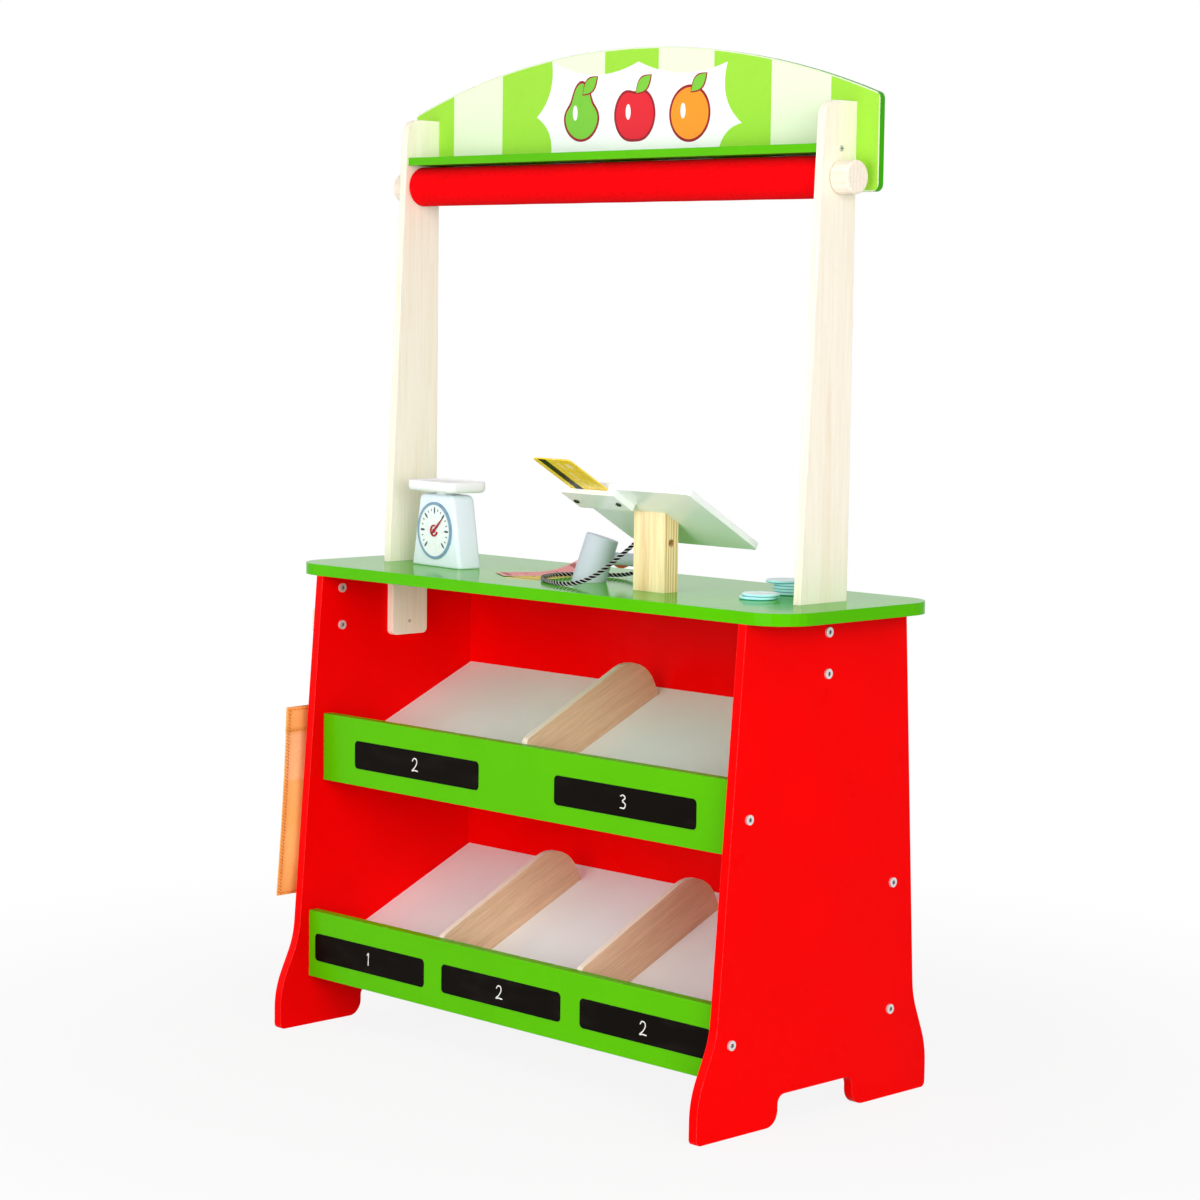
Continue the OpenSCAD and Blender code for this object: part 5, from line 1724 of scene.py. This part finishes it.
    def pointer(self) -> None:
        """Make the needle with the open loop round its hub."""
        shape = Shape()
        low = self.dial_t + self.pointer_gap
        high = low + self.pointer_t
        aim = self.face() @ turned_by(-self.pointer_turn)
        half, tip = self.needle_w / 2, self.needle_tip
        needle = [(-half, 0.0), (-half * 0.6, -self.loop_r), (half * 0.6, -self.loop_r), (half, 0.0),
                  (half * 0.7, self.needle_l * 0.6), (tip, self.needle_l), (-tip, self.needle_l),
                  (-half * 0.7, self.needle_l * 0.6)]
        shape.plate(needle, low, high, aim, 0, self.needle_ease)
        shape.plate(circle(self.hub_r, 24), low, high + self.hub_rise, aim, 0, self.hub_rise)
        first, last = self.loop_open[1], self.loop_open[0] + 360
        inner_r, outer_r = self.loop_r - self.loop_w / 2, self.loop_r + self.loop_w / 2
        ring = [(inner_r, low), (outer_r, low), (outer_r, high), (inner_r, high)]
        rows = []
        for k in range(self.loop_steps + 1):
            t = math.radians(90 - first - (last - first) * k / self.loop_steps)
            turned = [Vector((r * math.cos(t), r * math.sin(t), h)) for r, h in ring]
            rows.append(shape.row(self.face() @ corner for corner in turned))
        shape.closed(rows)
        shape.plate(circle(self.pin_r, 20), -self.pin_d, low, aim)
        shape.piece("dial_pointer", "scale_hand", "pointer_red", POINTER_RED, stands_for="scale_pointer")


@dataclass
class Money:
    """Two stacks of play coins and two play notes."""

    counter_z: float = 540.0
    coin_r: float = 20.2
    coin_t: float = 3.2
    front_stack: Flat = (256.0, -10.5)
    back_stack: Flat = (244.5, 54.0)
    front_shifts: tuple[Flat, ...] = ((-0.6, -0.6), (1.5, 1.5))
    back_shifts: tuple[Flat, ...] = ((0.6, 0.4), (0.2, 0.6), (-0.4, -0.6), (1.4, 1.0), (-5.4, -5.4))
    note_l: float = 96.0
    note_w: float = 46.0
    note_t: float = 0.3
    lower_note: Point = (-65.2, -11.0, 95.0)
    upper_note: Point = (-88.9, 2.1, 60.0)
    upper_level: float = 0.65
    curl: float = 11.0
    curl_from: float = 0.5
    curl_skew: float = 0.35
    note_columns: int = 40
    note_lines: int = 16
    coin_steps: int = 56

    def build(self) -> None:
        """Stack the coins and lay down the notes."""
        self.stack("front_coins", "front_coin_stack", self.front_stack, self.front_shifts)
        self.stack("back_coins", "back_coin_stack", self.back_stack, self.back_shifts)
        half = (self.note_l / 2, self.note_w / 2)
        yellow = NotePaper("yellow_print", tone(236, 212, 84), tone(150, 118, 30), *half)
        pink = NotePaper("pink_print", tone(244, 160, 158), tone(150, 62, 46), *half)
        self.note("yellow_note", "lower_note", self.lower_note, 0.0, 0.0, yellow, "yellow_paper")
        self.note("pink_note", "upper_note", self.upper_note, self.upper_level, self.curl, pink, "pink_paper")

    def stack(self, body: str, node: str, place: Flat, shifts: Sequence[Flat]) -> None:
        """Stack coins that don't lie quite on top of each other.

        Args:
            body: CAD body of the stack.
            node: CAD node that the stack stands for.
            place: Middle of the stack.
            shifts: How far each coin is off the middle, from the bottom up.
        """
        shape = Shape()
        r, t = self.coin_r, self.coin_t
        # Half section of a coin, from the hollow in its underside to the one in its top
        profile = [(r - 3.2, 0.25), (r - 2.8, 0.0), (r - 1.0, 0.0), (r - 0.35, 0.25), (r, 0.95), (r, t - 1.0),
                   (r - 0.25, t - 0.35), (r - 0.9, t), (r - 2.8, t), (r - 3.2, t - 0.25)]
        for level, shift in enumerate(shifts):
            middle = Vector((place[0] + shift[0], place[1] + shift[1], self.counter_z + level * t))
            rows = [shape.row(middle + Vector((out * x, out * y, z)) for out, z in profile)
                    for x, y in circle(1.0, self.coin_steps)]
            rings = [list(ring) for ring in zip(*rows)]
            # The edge, the painted shadow line below it where the coins meet, the underside and the top
            shape.skin(rings[4:7], coat=1)
            shape.skin(rings[2:5], coat=2)
            shape.skin(rings[:3])
            shape.skin(rings[6:])
            shape.face(rings[0][::-1])
            shape.face(rings[-1])
        shape.piece(body + "_stack", body, "coin_paint", COIN_FACE, COIN_EDGE, COIN_GAP_SHADOW, stands_for=node)

    def note(self, name: str, node: str, place: Point, level: float, curl: float,
             paper: NotePaper, slot: str) -> None:
        """Lay down a note.

        Args:
            name: Name of the piece.
            node: CAD node that it stands for.
            place: Middle of the note and its turn in degrees.
            level: Height above the counter.
            curl: How far its far end curls up.
            paper: Its print.
            slot: The record's material slot.
        """
        shape = Shape()
        across = [j / self.note_lines - 0.5 for j in range(self.note_lines + 1)]
        sides = []
        for lift in (0.0, self.note_t):
            rows = []
            for i in range(self.note_columns + 1):
                u = i / self.note_columns
                rise = curl * max(0.0, (u - self.curl_from) / (1 - self.curl_from)) ** 2
                along = self.note_l * (u - 0.5)
                levels = [lift + rise * (1 + self.curl_skew * v) for v in across]
                rows.append(shape.row((along, self.note_w * v, z) for v, z in zip(across, levels)))
            sides.append(rows)
        shape.sheet(*sides)
        x, y, turn = place
        at = Matrix.Translation((x, y, self.counter_z + level)) @ turned_by(turn)
        shape.piece(name, "notes", slot, paper, at=at, stands_for=node)


@dataclass
class Bag:
    """Flat cloth bag with sewn edges that hangs from a wooden hook."""

    mid_x: float = -358.0
    mid_y: float = -91.5
    low: float = 151.3
    high: float = 372.3
    top_half_w: float = 57.0
    low_half_w: float = 71.5
    waist: float = 1.5
    mouth_half_d: float = 4.0
    belly_half_d: float = 13.5
    # Shares of the height from the mouth over which the bag fills, and from the bottom over which it opens
    fill_share: float = 0.7
    open_share: float = 0.2
    bow_power: float = 2.4
    broad_fold: float = 2.2
    fine_fold: float = 0.6
    seam_w: float = 8.0
    seam_t: float = 0.8
    cloth_t: float = 0.8
    hem_h: float = 30.0
    hem_t: float = 0.5
    hem_step: float = 0.4
    hem_clear: float = 2.0
    floor_h: float = 8.0
    inside_gap: float = 0.5
    least_off: float = 0.15
    row_count: int = 44
    half_columns: int = 20
    thread_r: float = 0.6
    stitch: float = 3.9
    # How far along a stitch over the edge and how far in from the edge its thread lies
    edge_stitch: tuple[Flat, ...] = ((0.0, 4.6), (0.4, 3.0), (0.75, 0.4))
    edge_lift: float = 0.15
    edge_end: float = 2.0
    # Rows of stitches: how far in from the hem's fold, from the mouth and the bottom, and from the edges
    hem_row: float = 2.5
    end_row: float = 3.0
    row_end: float = 2.0
    # A stitch of a row: its length in shares of an edge stitch, the gap before it and its thread
    row_stitch: float = 1.25
    row_gap: float = 0.12
    row_thread: float = 0.76
    row_lifts: tuple[float, ...] = (-0.15, 0.25, 0.25, -0.15)
    strap_y: float = 11.6
    strap_w: float = 7.6
    strap_t: float = 1.6
    strap_off: float = 2.0
    strap_top: float = 473.4
    strap_round: float = 9.0
    strap_sunk: float = 24.0
    strap_sway: float = 0.3
    strap_steps: int = 14
    bend_steps: int = 10
    # Section of a strap in shares of its width and thickness
    strap_section: tuple[Flat, ...] = ((-0.5, -0.3), (-0.47, -0.5), (0.47, -0.5), (0.5, -0.3), (0.5, 0.3),
                                       (0.47, 0.5), (-0.47, 0.5), (-0.5, 0.3))

    def build(self) -> None:
        """Dress the hook, sew the bag and hang it."""
        dress(MAPLE_UPRIGHT, "bag_hook")
        dress(STEEL, "hook_bolts")
        self.bag()
        self.straps()
        self.stitches()

    def share_up(self, z: float) -> float:
        """Give a height as a share of the bag's."""
        return (z - self.low) / (self.high - self.low)

    def half_w(self, z: float) -> float:
        """Give the bag's half width at a height."""
        t = self.share_up(z)
        return self.low_half_w + (self.top_half_w - self.low_half_w) * t - self.waist * math.sin(math.pi * t)

    def wall(self, y: float, z: float, side: int) -> float:
        """Give how far a wall of the bag stands off the bag's middle plane.

        Args:
            y: Place across the bag, from its middle.
            z: Height.
            side: 1 for the wall at the panel's side, else -1.

        Returns:
            The distance.
        """
        t = self.share_up(z)
        filled = clamped((1 - t) / self.fill_share)
        swell = self.belly_half_d - self.mouth_half_d
        depth = self.mouth_half_d + swell * filled * filled * (3 - 2 * filled)
        depth *= clamped(t / self.open_share) ** 0.5
        reach = self.half_w(z) - self.seam_w
        share = min(1.0, abs(y) / reach)
        bow = 1 - share ** self.bow_power
        broad = noise.noise(Vector((y * 0.035, z * 0.014, side * 3.0))) * self.broad_fold
        fine = noise.noise(Vector((y * 0.09, z * 0.05, side * 7.0))) * self.fine_fold
        fold = (broad + fine) * (min(1.0, (1 - t) * 2.5) * min(1.0, t * 6))
        hem = self.hem_t if z > self.high - self.hem_h else 0.0
        return self.seam_t + max(0.0, depth - self.seam_t + fold) * bow + hem

    def levels(self) -> list[float]:
        """Set out the rows of the bag, with a step at the hem.

        Returns:
            Their heights, from the bottom up.
        """
        count = self.row_count
        rows = [self.low + (self.high - self.low) * (i / count) for i in range(count + 1)]
        seam = self.high - self.hem_h
        clear = [z for z in rows if abs(z - seam) > self.hem_clear]
        return sorted([*clear, seam - self.hem_step, seam + self.hem_step])

    def on_wall(self, y: float, z: float, side: int, lift: float) -> Vector:
        """Give a point of the frame on a wall of the bag, lifted off it."""
        return Vector((self.mid_x + side * (self.wall(y, z, side) + lift), self.mid_y + y, z))

    def loop(self, z: float, half: float, within: float = 0.0) -> list[Point]:
        """Go once round the bag, along one wall and back along the other.

        Args:
            z: Height.
            half: How far the loop reaches to each side.
            within: How far inside the walls it runs.

        Returns:
            The points of the loop.
        """
        across = [i / self.half_columns - 1 for i in range(self.half_columns * 2 + 1)]
        points = []
        for side in (1, -1):
            for y in (half * share for share in across[::side]):
                off = max(self.least_off, self.wall(y, z, side) - within)
                points.append((self.mid_x + side * off, self.mid_y + y, z))
        return points

    def bag(self) -> None:
        """Sew the bag: two walls with a flat seam down each side, open at the top."""
        shape = Shape()
        outer, inner = [], []
        for z in self.levels():
            half = self.half_w(z)
            outer.append(shape.row(self.loop(z, half)))
            if z > self.low + self.floor_h:
                inner.append(shape.row(self.loop(z, half - self.seam_w - self.inside_gap, self.cloth_t)))
        shape.skin(outer)
        shape.skin(inner[::-1])
        shape.skin([outer[-1], inner[-1]])
        shape.face(outer[0][::-1])
        shape.face(inner[0])
        shape.piece("cloth_bag", "bag", "orange_cloth", ORANGE_CLOTH, sharp=60, stands_for="shopping_bag")

    def straps(self) -> None:
        """Make the two straps, which go up from inside the mouth and over the hook's arm."""
        shape = Shape()
        low, r, steps = self.high - self.strap_sunk, self.strap_round, self.strap_steps
        rise = self.strap_top - r - low
        way = [(-self.strap_y, low + rise * i / steps) for i in range(steps)]
        for start, sign in ((180, -1), (90, 1)):
            for i in range(self.bend_steps + 1):
                turn = math.radians(start - 90 * i / self.bend_steps)
                bend_y = sign * (self.strap_y - r) + r * math.cos(turn)
                way.append((bend_y, self.strap_top - r + r * math.sin(turn)))
        way += [(self.strap_y, self.strap_top - r - rise * (i + 1) / steps) for i in range(steps)]
        for side in (-1, 1):
            rows = []
            for (y, z), ahead in zip(way, headings([Vector(spot) for spot in way])):
                sway = self.strap_sway * noise.noise(Vector((y * 0.05, z * 0.04, side)))
                x = self.mid_x + side * self.strap_off + sway
                rows.append(shape.row((x + b * self.strap_t, self.mid_y + y - ahead.y * a * self.strap_w,
                                       z + ahead.x * a * self.strap_w) for a, b in self.strap_section))
            shape.closed(rows)
        shape.piece("cloth_straps", "bag", "orange_cloth", ORANGE_CLOTH, stands_for="bag_straps")

    def stitches(self) -> None:
        """Sew slanting stitches over both edges and lines of stitches along the hem and the bottom."""
        shape = Shape()
        length = self.high - self.low - self.edge_end * 2
        count = round(length / self.stitch)
        for side in (-1, 1):
            for edge, i in itertools.product((-1, 1), range(count)):
                thread = []
                for share, inset in self.edge_stitch:
                    z = self.low + self.edge_end + length * (i + share) / count
                    thread.append(self.on_wall(edge * (self.half_w(z) - inset), z, side, self.edge_lift))
                shape.tube(thread, self.thread_r, 5)
            for z in self.stitch_rows():
                self.running_stitch(shape, side, z)
        shape.piece("bag_stitches", "bag", "orange_cloth", ORANGE_THREAD, sharp=180)

    def stitch_rows(self) -> list[float]:
        """Give the heights of the rows of stitches."""
        return [self.high - self.hem_h + self.hem_row, self.high - self.end_row, self.low + self.end_row]

    def running_stitch(self, shape: Shape, side: int, z: float) -> None:
        """Sew a row of single stitches across one wall.

        Args:
            shape: The shape that takes them.
            side: Which wall.
            z: Height of the row.
        """
        half = self.half_w(z) - self.row_end
        count = int(half * 2 / (self.stitch * self.row_stitch))
        last = len(self.row_lifts) - 1
        for i in range(count):
            thread = []
            for k, lift in enumerate(self.row_lifts):
                y = -half + 2 * half * (i + self.row_gap + self.row_thread * k / last) / count
                thread.append(self.on_wall(y, z, side, lift))
            shape.tube(thread, self.thread_r, 5)


def main() -> None:
    """Set up the studio, then build the stall and its things in order."""
    logging.basicConfig(level=logging.INFO, format="%(name)s: %(message)s")
    for assembly in (Studio(), Scanner(), Boards(), Sign(), Curtain(), Till(), Scale(), Money(), Bag()):
        assembly.build()


if __name__ == "__main__":
    main()
